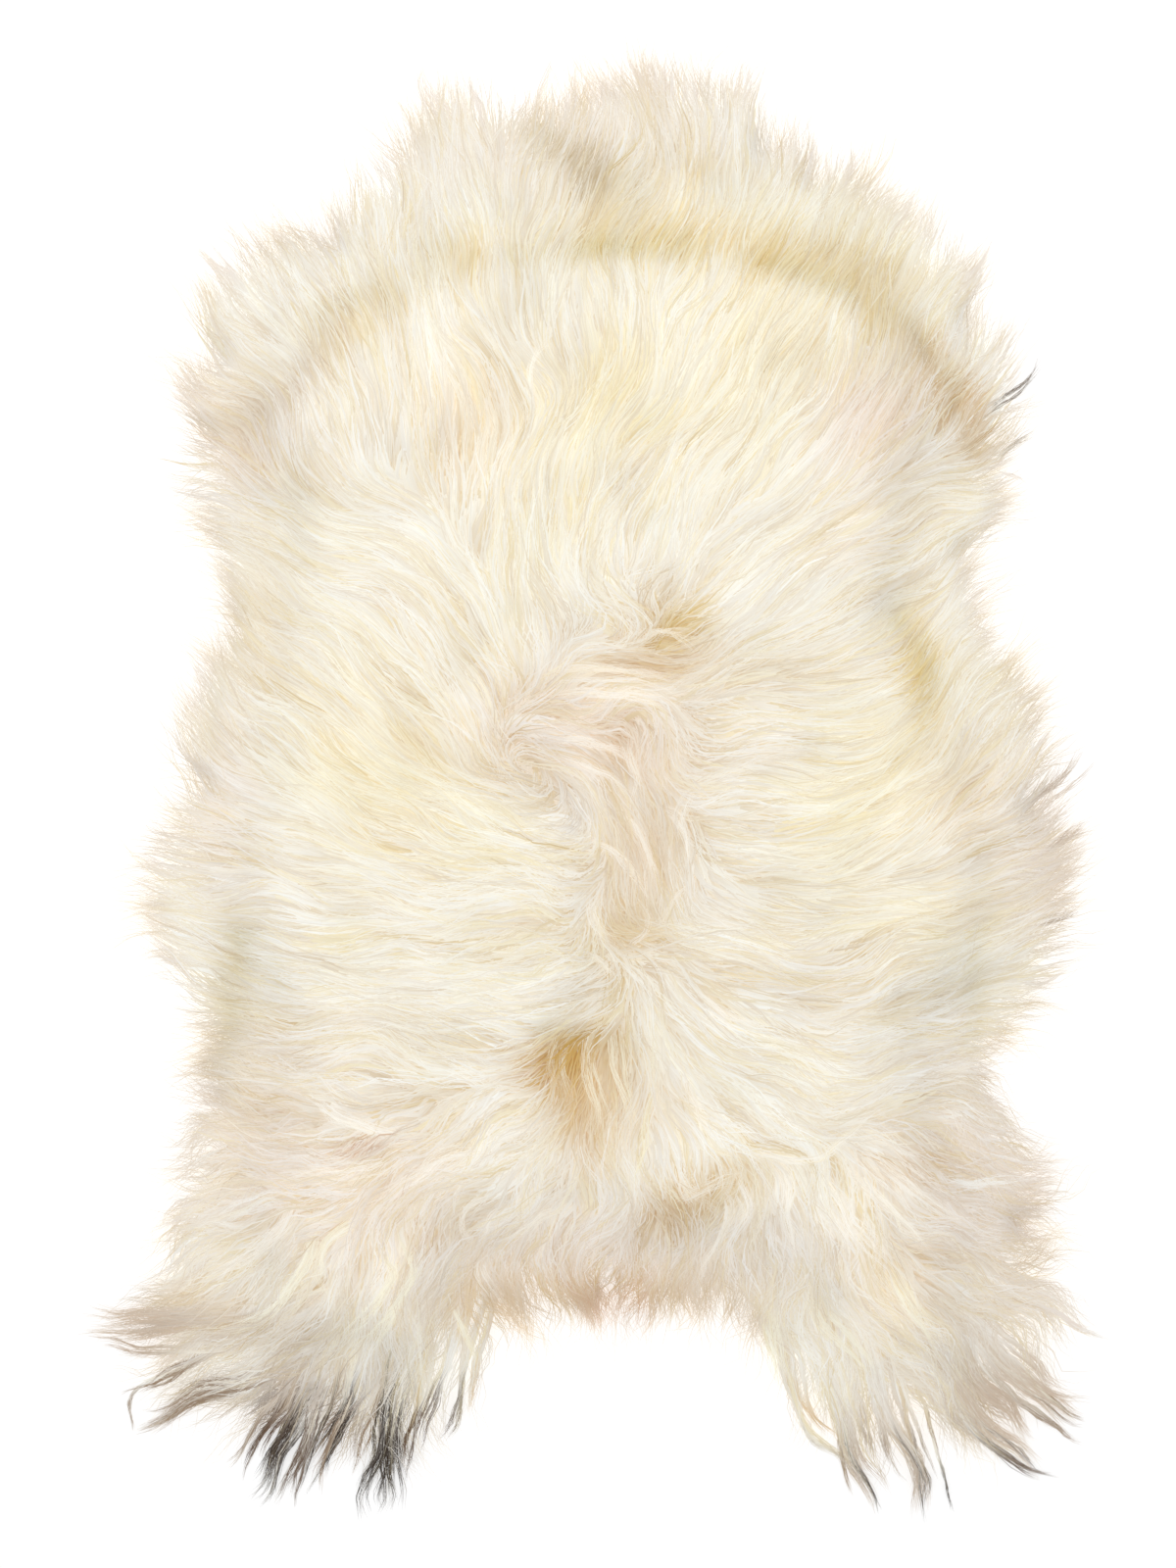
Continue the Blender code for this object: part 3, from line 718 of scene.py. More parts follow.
# %% Parts of a ribbon mesh
def strip_faces(count, steps):
    """The corners of the faces of count ribbons with steps faces each, and how many corners each face has."""
    first = np.arange(count) * (2 * steps + 1)
    k = np.arange(steps - 1) * 2
    quads = first[:, None, None] + np.stack([k, k + 1, k + 3, k + 2], -1)[None]
    ends = first[:, None] + np.array([2 * steps - 2, 2 * steps - 1, 2 * steps])
    corners = np.concatenate([quads.reshape(count, -1), ends], 1).ravel()
    return corners, np.tile(np.append(np.full(steps - 1, 4), 3), count)

def both_sides(values, steps):
    """Values at the points of the lines, for the two sides of each ribbon and its tip."""
    return np.concatenate([np.repeat(values[:, :steps], 2, axis=1), values[:, steps:]], 1)

def store(mesh, name, kind, part, values):
    """Stores values on the points of the mesh, for the shader."""
    mesh.attributes.new(name, kind, "POINT").data.foreach_set(part, values.astype(np.float32).ravel())

def add_bake_map(mesh, count, steps, corners):
    """A UV map in which each strand has a small cell of its own."""
    columns = int(math.ceil(math.sqrt(count * 1.2)))
    rows = int(math.ceil(count / columns))
    strand = np.arange(count)
    left, low = (strand % columns) / columns, (strand // columns) / rows
    side = np.append(np.tile([0.12, 0.88], steps), 0.5)
    up = np.append(np.repeat(np.linspace(0.06, 0.94, steps + 1)[:steps], 2), 0.94)
    u = left[:, None] + side[None] / columns
    v = low[:, None] + up[None] / rows
    uv = np.stack([u, v], -1).reshape(-1, 2)[corners]
    mesh.uv_layers.new(name="OFBake").data.foreach_set("uv", uv.astype(np.float32).ravel())

print("a ribbon of 8 steps has", len(strip_faces(1, 8)[1]), "faces")

# %% Ribbons
BORROWED = 0.80                    # how much of a strand's facing is taken from the pile as a whole
GRAIN_SPREAD = 400                 # so far apart that no two strands share the same noise

slope = np.stack(np.gradient(pile, GRID_STEP), -1)
pile_normal = unit(np.concatenate([-slope, np.ones((*grid_size, 1))], -1))

def ribbons(name, lines, widths, rolls, colours, grain_seed):
    """One mesh of many ribbons. lines (N, K + 1, 3), widths (N, K), rolls (N,), colours (N, K + 1, 3)."""
    count, points = lines.shape[:2]
    steps = points - 1
    along = unit(np.gradient(lines, axis=1))
    level = unit(np.cross(along, (0.0, 0.0, 1.0)))
    upright = np.cross(level, along)
    c, s = np.cos(rolls)[:, None, None], np.sin(rolls)[:, None, None]
    across = level * c + upright * s
    facing = np.cross(across, along) * (1 - BORROWED) + at(pile_normal, lines[..., :2]) * BORROWED
    half = across[:, :steps] * widths[..., None] / 2
    rows = np.stack([lines[:, :steps] - half, lines[:, :steps] + half], 2).reshape(count, 2 * steps, 3)
    places = np.concatenate([rows, lines[:, steps:]], 1)
    places[..., 2] = np.maximum(places[..., 2], FLOOR_CLEAR)

    corners, sizes = strip_faces(count, steps)
    starts = np.concatenate([[0], np.cumsum(sizes)[:-1]])
    mesh = bpy.data.meshes.new(name)
    mesh.vertices.add(count * (2 * steps + 1))
    mesh.vertices.foreach_set("co", places.astype(np.float32).ravel())
    mesh.loops.add(len(corners))
    mesh.loops.foreach_set("vertex_index", corners.astype(np.int32))
    mesh.polygons.add(len(sizes))
    mesh.polygons.foreach_set("loop_start", starts.astype(np.int32))
    mesh.update(calc_edges=True)
    mesh.shade_smooth()
    mesh.normals_split_custom_set_from_vertices(unit(both_sides(facing, steps)).reshape(-1, 3))

    tints = both_sides(colours, steps)
    store(mesh, "tint", "FLOAT_COLOR", "color", np.concatenate([tints, np.ones((*tints.shape[:2], 1))], -1))

    lengths = np.linalg.norm(np.diff(lines, axis=1), axis=-1)
    run = np.concatenate([np.zeros((count, 1)), np.cumsum(lengths, 1)], 1)
    grain = np.zeros((count, 2 * steps + 1, 3))
    grain[:, :2 * steps:2, 0] = -widths / 2
    grain[:, 1:2 * steps:2, 0] = widths / 2
    grain[..., 1] = both_sides(run, steps)
    grain[..., 2] = np.random.default_rng(grain_seed).random(count)[:, None] * GRAIN_SPREAD
    store(mesh, "grain", "FLOAT_VECTOR", "vector", grain)

    add_bake_map(mesh, count, steps, corners)
    piece = bpy.data.objects.new(name, mesh)
    bpy.context.scene.collection.objects.link(piece)
    return piece

print("steepest slope of the pile:", round(float(np.linalg.norm(slope, axis=-1).max()), 2))

# %% [markdown]
# A lock is drawn from its middle line. Its strands start spread over the tuft of skin that feeds the lock,
# close up towards the tip and may part again at the very end. Each sways a little, some of it together with
# its lock and some of it alone. Their height goes up out of the wool at first and then follows the top of the
# pile, so every lock ends on top of the one before it.

# %% Locks of strands
CLOSED_AT = 0.8                    # the share of its length at which a lock has closed up

def strands_of(middles, per_lock, spread, gather, wave, points, unevenness, splay=0.0, lively=1.0):
    """Strand lines in plan (N, points + 1, 2) round the traced lines, with the lock that each belongs to.

    spread is the radius of a lock at its root, gather how far its strands close up towards the tip, splay how
    far their ends part again, unevenness how much shorter some of them are, and lively how strongly they sway.
    wave holds the sways: their size, their length and whether the strands of a lock share them."""
    count = len(middles)
    lock = np.repeat(np.arange(count), per_lock)
    lively = np.broadcast_to(lively, count)
    number = len(lock)
    share = 1 - unevenness * rng.random(number) ** 1.5
    t = np.linspace(0, 1, points + 1)
    where = np.clip(share[:, None] * t * TRACE_STEPS, 0, TRACE_STEPS - 1e-6)
    cell = where.astype(int)
    part = (where - cell)[..., None]
    line = middles[lock[:, None], cell] * (1 - part) + middles[lock[:, None], cell + 1] * part
    across = sides(line)
    off = rng.normal(0, 0.5, number) * spread
    back = rng.uniform(-1, 1, number) * spread
    closing = 1 - gather * np.minimum(t[None] / CLOSED_AT, 1) ** 1.2
    apart = rng.normal(0, splay * spread, number)[:, None] * t[None] ** 3 if splay else 0.0
    line = line + across * (off[:, None] * closing + apart)[..., None]
    along = np.stack([across[..., 1], -across[..., 0]], -1)
    line = line + along * (back[:, None] * (1 - 0.6 * t[None]))[..., None]
    length = np.linalg.norm(np.diff(line, axis=1), axis=-1).sum(1)
    sway = np.zeros((number, points + 1))
    for size, waves, shared in wave:
        phase = rng.uniform(0, 2 * np.pi, count)[lock] + rng.normal(0, 0.5 if shared else 3.0, number)
        period = waves * rng.uniform(0.8, 1.25, count)[lock]
        strength = size * (rng.uniform(0.3, 1.3, count)[lock] if shared else rng.uniform(0.2, 1.2, number))
        strength = strength * lively[lock]
        ramp = np.minimum(t[None] * 2.5, 1)
        sway += (strength[:, None] * ramp * np.sin(2 * np.pi * length[:, None] * t[None] / period[:, None]
                                                   + phase[:, None]))
    return line + across * sway[..., None], lock, off / spread

print("a lock has closed up at", CLOSED_AT, "of its length")

# %% Heights and widths of strands
RISEN_AT = 0.42                    # the share of its length in which a strand comes up out of the wool
ROOT_WIDTH = 0.55                  # the width of a strand at its root, as a share of its full width

def raised(plan, depth, layer, crown, flight):
    """Gives strand lines their height: out of the wool from depth, then along the pile at layer.

    crown lifts the middle of a lock over its sides, and flight lifts the tip of a strand."""
    points = plan.shape[1]
    t = np.linspace(0, 1, points)[None]
    rise = np.clip(t / RISEN_AT, 0, 1)
    rise = rise * rise * (3 - 2 * rise)
    height = at(pile, plan)
    share = (depth[:, None] + (layer[:, None] - depth[:, None]) * rise)
    z = height * share + crown[:, None] * rise + flight[:, None] * t ** 2
    return np.concatenate([plan, np.maximum(z, FLOOR_CLEAR)[..., None]], -1)

def taper(points, width, tip_power=2.4):
    """The widths of ribbons: narrow at the root, full in the middle, running out to the tip."""
    t = np.linspace(0, 1, points + 1)[:-1]
    shape = np.minimum(ROOT_WIDTH + 1.6 * t, 1) * (1 - t ** tip_power)
    return width[:, None] * shape[None]

print("a strand 1 mm wide, along its length:", taper(8, np.ones(1))[0].round(2), "mm")

# %% [markdown]
# On top of the patches every lock and strand differs. Some are darker at random, partly in their own tone and
# partly as painted shade between the strands, and a few locks are yellow with grease. The roots are darker
# than the ends, a painted shade of the locks that lie over them, and the creases get painted shade too. All
# these painted shades are warm, like the shade between cream hairs. Towards the outline the fleece thins
# out, and the hair there is misty and at last nearly white.

# %% Colour of each strand
SHADOW_TINT = np.array([0.70, 1.0, 1.36])      # the hue of all painted shade in the wool: warm, like the shade between cream hairs
GREASE_TINT = np.array([0.03, 0.09, 0.27])     # a few locks are yellow with old grease
CREASE_SHADE_TINT = np.array([0.08, 0.10, 0.20])     # the hue of the painted shade in the creases and the dips between swells
DARKEST_LOCK = 0.16
STREAKS = 18 * MM                              # width of the darker and lighter streaks
STREAK_DEPTH = 0.10
SHIFT_ALONG, SHIFT_ANY = 9 * MM, 3 * MM        # how far off a strand looks for its patch
MISTY_FROM, THIN_FROM, RIM_BLEND = 0.92, 0.5, 0.4      # the cover at which mist and veil begin
THIN_STRENGTH = 0.8
DARKEST, PALEST = 0.01, 0.985                  # no wool is quite black or white

def strand_colours(plan, lock, locks, root_shade, spread=0.075, fade=0.0):
    """Colours (N, K + 1, 3): the patch where the strand is, darker in some strands, and darker at the root as
    painted shade.

    root_shade is how dark that painted shade at the root is, spread how much the strands and locks differ, and
    fade how far they go to the misty grey of the rim near the outline."""
    count, points = plan.shape[:2]
    run = unit(plan[:, -1] - plan[:, 0])
    shift = rng.normal(0, SHIFT_ALONG, (count, 1)) * run + rng.normal(0, SHIFT_ANY, (count, 2))
    colours = patch_colours(plan + shift[:, None])
    t = np.linspace(0, 1, points)[None]
    covered = at(cover, plan)
    misty = fade * np.clip((MISTY_FROM - covered) / RIM_BLEND, 0, 1)
    thin = (fade > 0) * THIN_STRENGTH * np.clip((THIN_FROM - covered) / RIM_BLEND, 0, 1)
    colours = colours + (MIST - colours) * misty[..., None]
    colours = colours + (VEIL - colours) * thin[..., None]
    greasy = (rng.random(locks) ** 4)[lock]
    colours = colours * (1 - greasy[:, None, None] * GREASE_TINT)
    # some locks and strands are darker at random: partly their own tone, partly painted shade between strands
    of_locks = np.minimum(np.abs(rng.normal(0, 0.8 * spread, locks)), DARKEST_LOCK)
    dark = of_locks[lock] + np.abs(rng.normal(0, 0.8 * spread, count))
    dark = dark + STREAK_DEPTH * mottle(plan[:, 0], STREAKS, 21) ** 2
    # painted shade at the roots, where the lock before lies over them
    dark = dark[:, None] + root_shade * (1 - t) ** 2
    # painted shade in the creases and the dips between swells
    colours = colours * (1 - dark[..., None] * SHADOW_TINT) * (1 - at(crease_shade, plan)[..., None] * CREASE_SHADE_TINT)
    return np.clip(colour_tips(colours, plan, t), DARKEST, PALEST)

print("the darkest lock keeps", (1 - DARKEST_LOCK * SHADOW_TINT).round(2), "of its red, green and blue")

# %% [markdown]
# ## What wool is made of, for the shader
#
# Each ribbon carries three numbers to its shader: how far across it a point lies, how far along, and a number
# of its own. Noise stretched along those draws the single hairs, about a third of a millimetre wide, in
# colour, in bump and in gloss. Wool has a soft lustre, so the roughness is middling and the sheen is slight.

# %% Wool material
HAIR_WIDTH = 0.8 * MM              # of one wave of the noise, across the strand
HAIR_LENGTH = 40 * MM

def wool_material(name, hair_contrast, bump, roughness):
    """The shader of all the wool: the strands' own tints, with single hairs drawn on them."""
    material, tree, shader = new_material(name)
    nodes, links = tree.nodes, tree.links

    def node(kind, **settings):
        made = nodes.new(kind)
        for key, value in settings.items():
            setattr(made, key, value)
        return made

    tint = node("ShaderNodeAttribute", attribute_name="tint")
    grain = node("ShaderNodeAttribute", attribute_name="grain")
    stretch = node("ShaderNodeVectorMath", operation="MULTIPLY")
    stretch.inputs[1].default_value = (1 / HAIR_WIDTH, 1 / HAIR_LENGTH, 1.0)
    links.new(grain.outputs["Vector"], stretch.inputs[0])
    hairs = node("ShaderNodeTexNoise", noise_dimensions="3D")
    hairs.inputs["Scale"].default_value = 1.0
    hairs.inputs["Detail"].default_value = 2.0
    hairs.inputs["Roughness"].default_value = 0.6
    links.new(stretch.outputs["Vector"], hairs.inputs["Vector"])

    shade = node("ShaderNodeMapRange")
    shade.inputs["From Min"].default_value = 0.25
    shade.inputs["From Max"].default_value = 0.75
    shade.inputs["To Min"].default_value = 1 - hair_contrast
    shade.inputs["To Max"].default_value = 1.0
    links.new(hairs.outputs["Fac"], shade.inputs["Value"])
    coloured = node("ShaderNodeVectorMath", operation="MULTIPLY")
    links.new(tint.outputs["Color"], coloured.inputs[0])
    links.new(shade.outputs["Result"], coloured.inputs[1])
    links.new(coloured.outputs["Vector"], shader.inputs["Base Color"])

    gloss = node("ShaderNodeMapRange")
    gloss.inputs["To Min"].default_value = roughness - 0.1
    gloss.inputs["To Max"].default_value = roughness + 0.1
    links.new(hairs.outputs["Fac"], gloss.inputs["Value"])
    links.new(gloss.outputs["Result"], shader.inputs["Roughness"])

    relief = node("ShaderNodeBump")
    relief.inputs["Strength"].default_value = bump
    relief.inputs["Distance"].default_value = 0.15 * MM
    links.new(hairs.outputs["Fac"], relief.inputs["Height"])
    links.new(relief.outputs["Normal"], shader.inputs["Normal"])

    shader.inputs["Specular IOR Level"].default_value = 0.12
    shader.inputs["Sheen Weight"].default_value = 0.02
    shader.inputs["Sheen Roughness"].default_value = 0.4
    return material

fleece_material = wool_material("long wool", hair_contrast=0.10, bump=0.25, roughness=0.6)
print(fleece_material.name, "has", len(fleece_material.node_tree.nodes), "nodes")

# %% [markdown]
# ## The under-wool
#
# Between the roots of the long hair stands a short, dense undercoat. It closes the fleece, so that no light
# comes up through it. It is one soft mesh on the skin, a little lower than the pile, and nearly all of it is
# covered later.

# %% Under-wool
UNDERWOOL_STEP = 7 * MM
UNDERWOOL_SHARE = 0.70             # of the height of the pile
UNDERWOOL_LUMPS = 5 * MM           # height of its soft lumps
UNDERWOOL_SHADE = 0.12

def make_underwool():
    """The under-wool, one soft sheet over the whole hide."""
    xs = np.arange(edge[:, 0].min(), edge[:, 0].max() + UNDERWOOL_STEP, UNDERWOOL_STEP)
    ys = np.arange(edge[:, 1].min(), edge[:, 1].max() + UNDERWOOL_STEP, UNDERWOOL_STEP)
    gx, gy = np.meshgrid(xs, ys, indexing="ij")
    places = np.stack([gx, gy], -1)
    kept = inside(edge, places.reshape(-1, 2)).reshape(gx.shape)
    soft = mottle(places, 9 * MM, 3) - 0.5
    z = at(pile, places) * UNDERWOOL_SHARE + soft * UNDERWOOL_LUMPS
    index = -np.ones(gx.shape, int)
    index[kept] = np.arange(kept.sum())
    quads = []
    for i in range(len(xs) - 1):
        for j in range(len(ys) - 1):
            corner = (index[i, j], index[i + 1, j], index[i + 1, j + 1], index[i, j + 1])
            if min(corner) >= 0:
                quads.append(corner)
    mesh = bpy.data.meshes.new("underwool")
    points = np.stack([gx[kept], gy[kept], z[kept]], -1)
    mesh.from_pydata(points.tolist(), [], quads)
    mesh.shade_smooth()
    # the under-wool is darkened with painted shade of the wool lying over it, whose strands cast no shadow
    tints = patch_colours(points[:, :2]) * (1 - UNDERWOOL_SHADE * SHADOW_TINT)
    store(mesh, "tint", "FLOAT_COLOR", "color", np.concatenate([tints, np.ones((len(tints), 1))], 1))
    store(mesh, "grain", "FLOAT_VECTOR", "vector", points)
    piece = bpy.data.objects.new("underwool", mesh)
    bpy.context.scene.collection.objects.link(piece)
    return piece

underwool = make_underwool()
underwool.data.materials.append(fleece_material)
print("underwool:", len(underwool.data.polygons), "faces")

# %% [markdown]
# ## The long wool
#
# All lying wool is grown in the same way, layer by layer. Each lock is traced over the lay as far as it is
# long. One that would leave the rug stops a little before the outline or a little past it, and that makes the
# soft, pointed rim. Wool on the haunches, the legs and the back waves more than that of the flanks.

# %% Growing a layer
MAX_REACH = 135 * MM               # no lock is traced further
SHORTEST_REACH = 26 * MM
RIM_STRETCH = 1.45                 # a lock may be this much longer than the others to reach the outline
LEGS_FROM, LEGS_BLEND = -0.33, 0.08
LEGS_LONGER = 0.25                 # how much longer the wool of the legs is
WAVY_FROM = -0.14                  # the wool further back than this waves more
ROLL = math.radians(12)            # how far strands are turned about their own lines

def exit_share(middles):
    """For each traced line, the share of it that lies over the pelt's own outline (1 if all of it)."""
    low = at(cover, middles) < 0.45
    first = np.where(low.any(1), low.argmax(1), TRACE_STEPS)
    return first / TRACE_STEPS

def waviness(roots):
    """How much the wool waves there: most on the haunches and legs and along the back, least on the flanks."""
    haunches = np.clip((WAVY_FROM - roots[:, 1]) / HAUNCH_BLEND, 0, 1)
    back = np.exp(-(roots[:, 0] / 0.08) ** 2 - ((roots[:, 1] + 0.02) / 0.2) ** 2)
    return 0.7 + 1.5 * haunches + 1.1 * back

def grow(name, roots, length, per_lock, width, spread, gather, wave, points, depth, layer, crown, root_shade,
         seed, directions=None, stray=7, inside_rim=(0, 20), fade=0.0, splay=0.0):
    """One layer of locks from roots. Returns the data that ribbons() takes, as a dictionary.

    depth and layer say where a strand starts and where it lies, as shares of the height of the pile, with
    crown on top for the middle of a lock. root_shade is how dark the painted shade at the roots is, and stray
    how far locks turn away from the lay, in degrees. inside_rim is how far (mm) inside the outline the locks
    near it end, and fade how misty they end. The rest is as in strands_of()."""
    count = len(roots)
    legs_wool = np.clip((LEGS_FROM - roots[:, 1]) / LEGS_BLEND, 0, 1)
    longest = length * rng.uniform(0.85, 1.15, count) * (1 + LEGS_LONGER * legs_wool)
    lean = rng.normal(0, math.radians(stray), count)
    trial = trace(roots, np.full(count, MAX_REACH), lean, directions)
    leaves = exit_share(trial) * MAX_REACH
    at_rim = (leaves < MAX_REACH * 0.98) & (leaves < longest * RIM_STRETCH)
    to_rim = leaves - rng.uniform(*inside_rim, count) * MM
    reach = np.where(at_rim, np.minimum(to_rim, RIM_STRETCH * longest), np.minimum(longest, MAX_REACH))
    reach = np.maximum(reach, SHORTEST_REACH)
    middles = trace(roots, reach, lean, directions)
    plan, lock, off = strands_of(middles, per_lock, spread, gather, wave, points, 0.25, splay, waviness(roots))
    number = len(plan)
    layers = np.clip(rng.normal(layer[0], layer[1], count)[lock] + rng.normal(0, 0.01, number), 0.1, 1.10)
    depths = np.full(number, depth)
    domes = crown * (1 - np.minimum(off ** 2, 1.5)) * rng.uniform(0.6, 1.2, count)[lock]
    lines = raised(plan, depths, layers, domes, rng.normal(0, 0.8 * MM, number))
    widths = taper(points, width * rng.uniform(0.7, 1.25, number))
    rolls = rng.normal(0, ROLL, number)
    colours = strand_colours(plan, lock, count, root_shade, fade=fade)
    print(name, number, "strands,", number * (2 * points - 1), "triangles")
    return dict(lines=lines, widths=widths, rolls=rolls, colours=colours, root=roots[lock], seed=seed)

print("wool waves from", waviness(edge).min().round(2), "to", waviness(edge).max().round(2), "along the edge")

# %% [markdown]
# The fleece has three such layers: deep wool of broad, short strands that fills it, the top coat that gives
# it its grain, and a few long, loose hairs over both. A sway is given as its size, its length and whether the
# strands of a lock share it.

# %% Deep wool, top coat and long hair
deep = grow("deep wool:", shaken_grid(14.0 * MM), length=62 * MM, per_lock=8, width=4.0 * MM, spread=11 * MM,
            gather=0.2, wave=((1.0 * MM, 40 * MM, False),), points=5, depth=0.76, layer=(0.90, 0.03),
            crown=0.5 * MM, root_shade=0.14, seed=31, inside_rim=(12, 38))
top = grow("top coat:", shaken_grid(9.4 * MM), length=96 * MM, per_lock=5, width=1.1 * MM, spread=6 * MM,
           gather=0.50, wave=((1.4 * MM, 50 * MM, True), (0.6 * MM, 30 * MM, False)), points=8, depth=0.84,
           layer=(0.975, 0.03), crown=0.9 * MM, root_shade=0.10, seed=32, stray=6, inside_rim=(-18, 26),
           fade=0.5)
over = grow("long hair:", shaken_grid(13.5 * MM), length=114 * MM, per_lock=3, width=0.9 * MM, spread=4 * MM,
            gather=0.55, wave=((1.8 * MM, 54 * MM, True), (0.7 * MM, 34 * MM, False)), points=9, depth=0.90,
            layer=(1.0, 0.02), crown=1.8 * MM, root_shade=0.04, seed=38, stray=8, inside_rim=(-24, 22),
            fade=0.5)

# %% [markdown]
# Two narrow layers close what these leave. Where the wool parts, every lock turns away and the ground would
# show, so short locks lie along the parting there. And round the edge of the hide the finest hair stands
# out past the outline, thin and misty, with its tips well apart.

# %% The parting and the rim
NEAR_PARTING = 0.85                # the agreement of neighbours below which locks lie along the parting
RIM_BAND = 34 * MM                 # how far in from the edge of the hide the rim's wool grows

parting_roots = shaken_grid(6.5 * MM)
parting_roots = parting_roots[at(agreement, parting_roots) < NEAR_PARTING]
parting = grow("parting:", parting_roots, length=62 * MM, per_lock=4, width=1.0 * MM, spread=6 * MM,
               gather=0.45, wave=((1.3 * MM, 40 * MM, True), (0.7 * MM, 25 * MM, False)), points=8, depth=0.86,
               layer=(0.985, 0.015), crown=0.6 * MM, root_shade=0.22, seed=33, directions=along_parting,
               stray=16)

rim_roots = shaken_grid(8.5 * MM)
rim_roots = rim_roots[distance_from(np.vstack([edge, edge[:1]]), rim_roots) < RIM_BAND]
rim = grow("rim:", rim_roots, length=78 * MM, per_lock=7, width=0.55 * MM, spread=10 * MM, gather=0.20,
           wave=((1.8 * MM, 44 * MM, True), (1.0 * MM, 25 * MM, False)), points=8, depth=0.80,
           layer=(1.0, 0.03), crown=0.8 * MM, root_shade=0.08, seed=34, stray=18, inside_rim=(-46, 4), fade=0.6,
           splay=0.7)

# %% [markdown]
# ## Locks that were looked at one by one
#
# Some locks are too much a part of this skin to be left to chance. Each of them is a row of a table, with the
# line that its middle follows, and its strands are drawn as those of all other locks. A long lock is never
# one tuft: it parts into wisps, and each wisp into strands.
#
# First come the hind legs. Their locks are the longest of the skin, and each ends in its own colour, from
# fawn to nearly black.

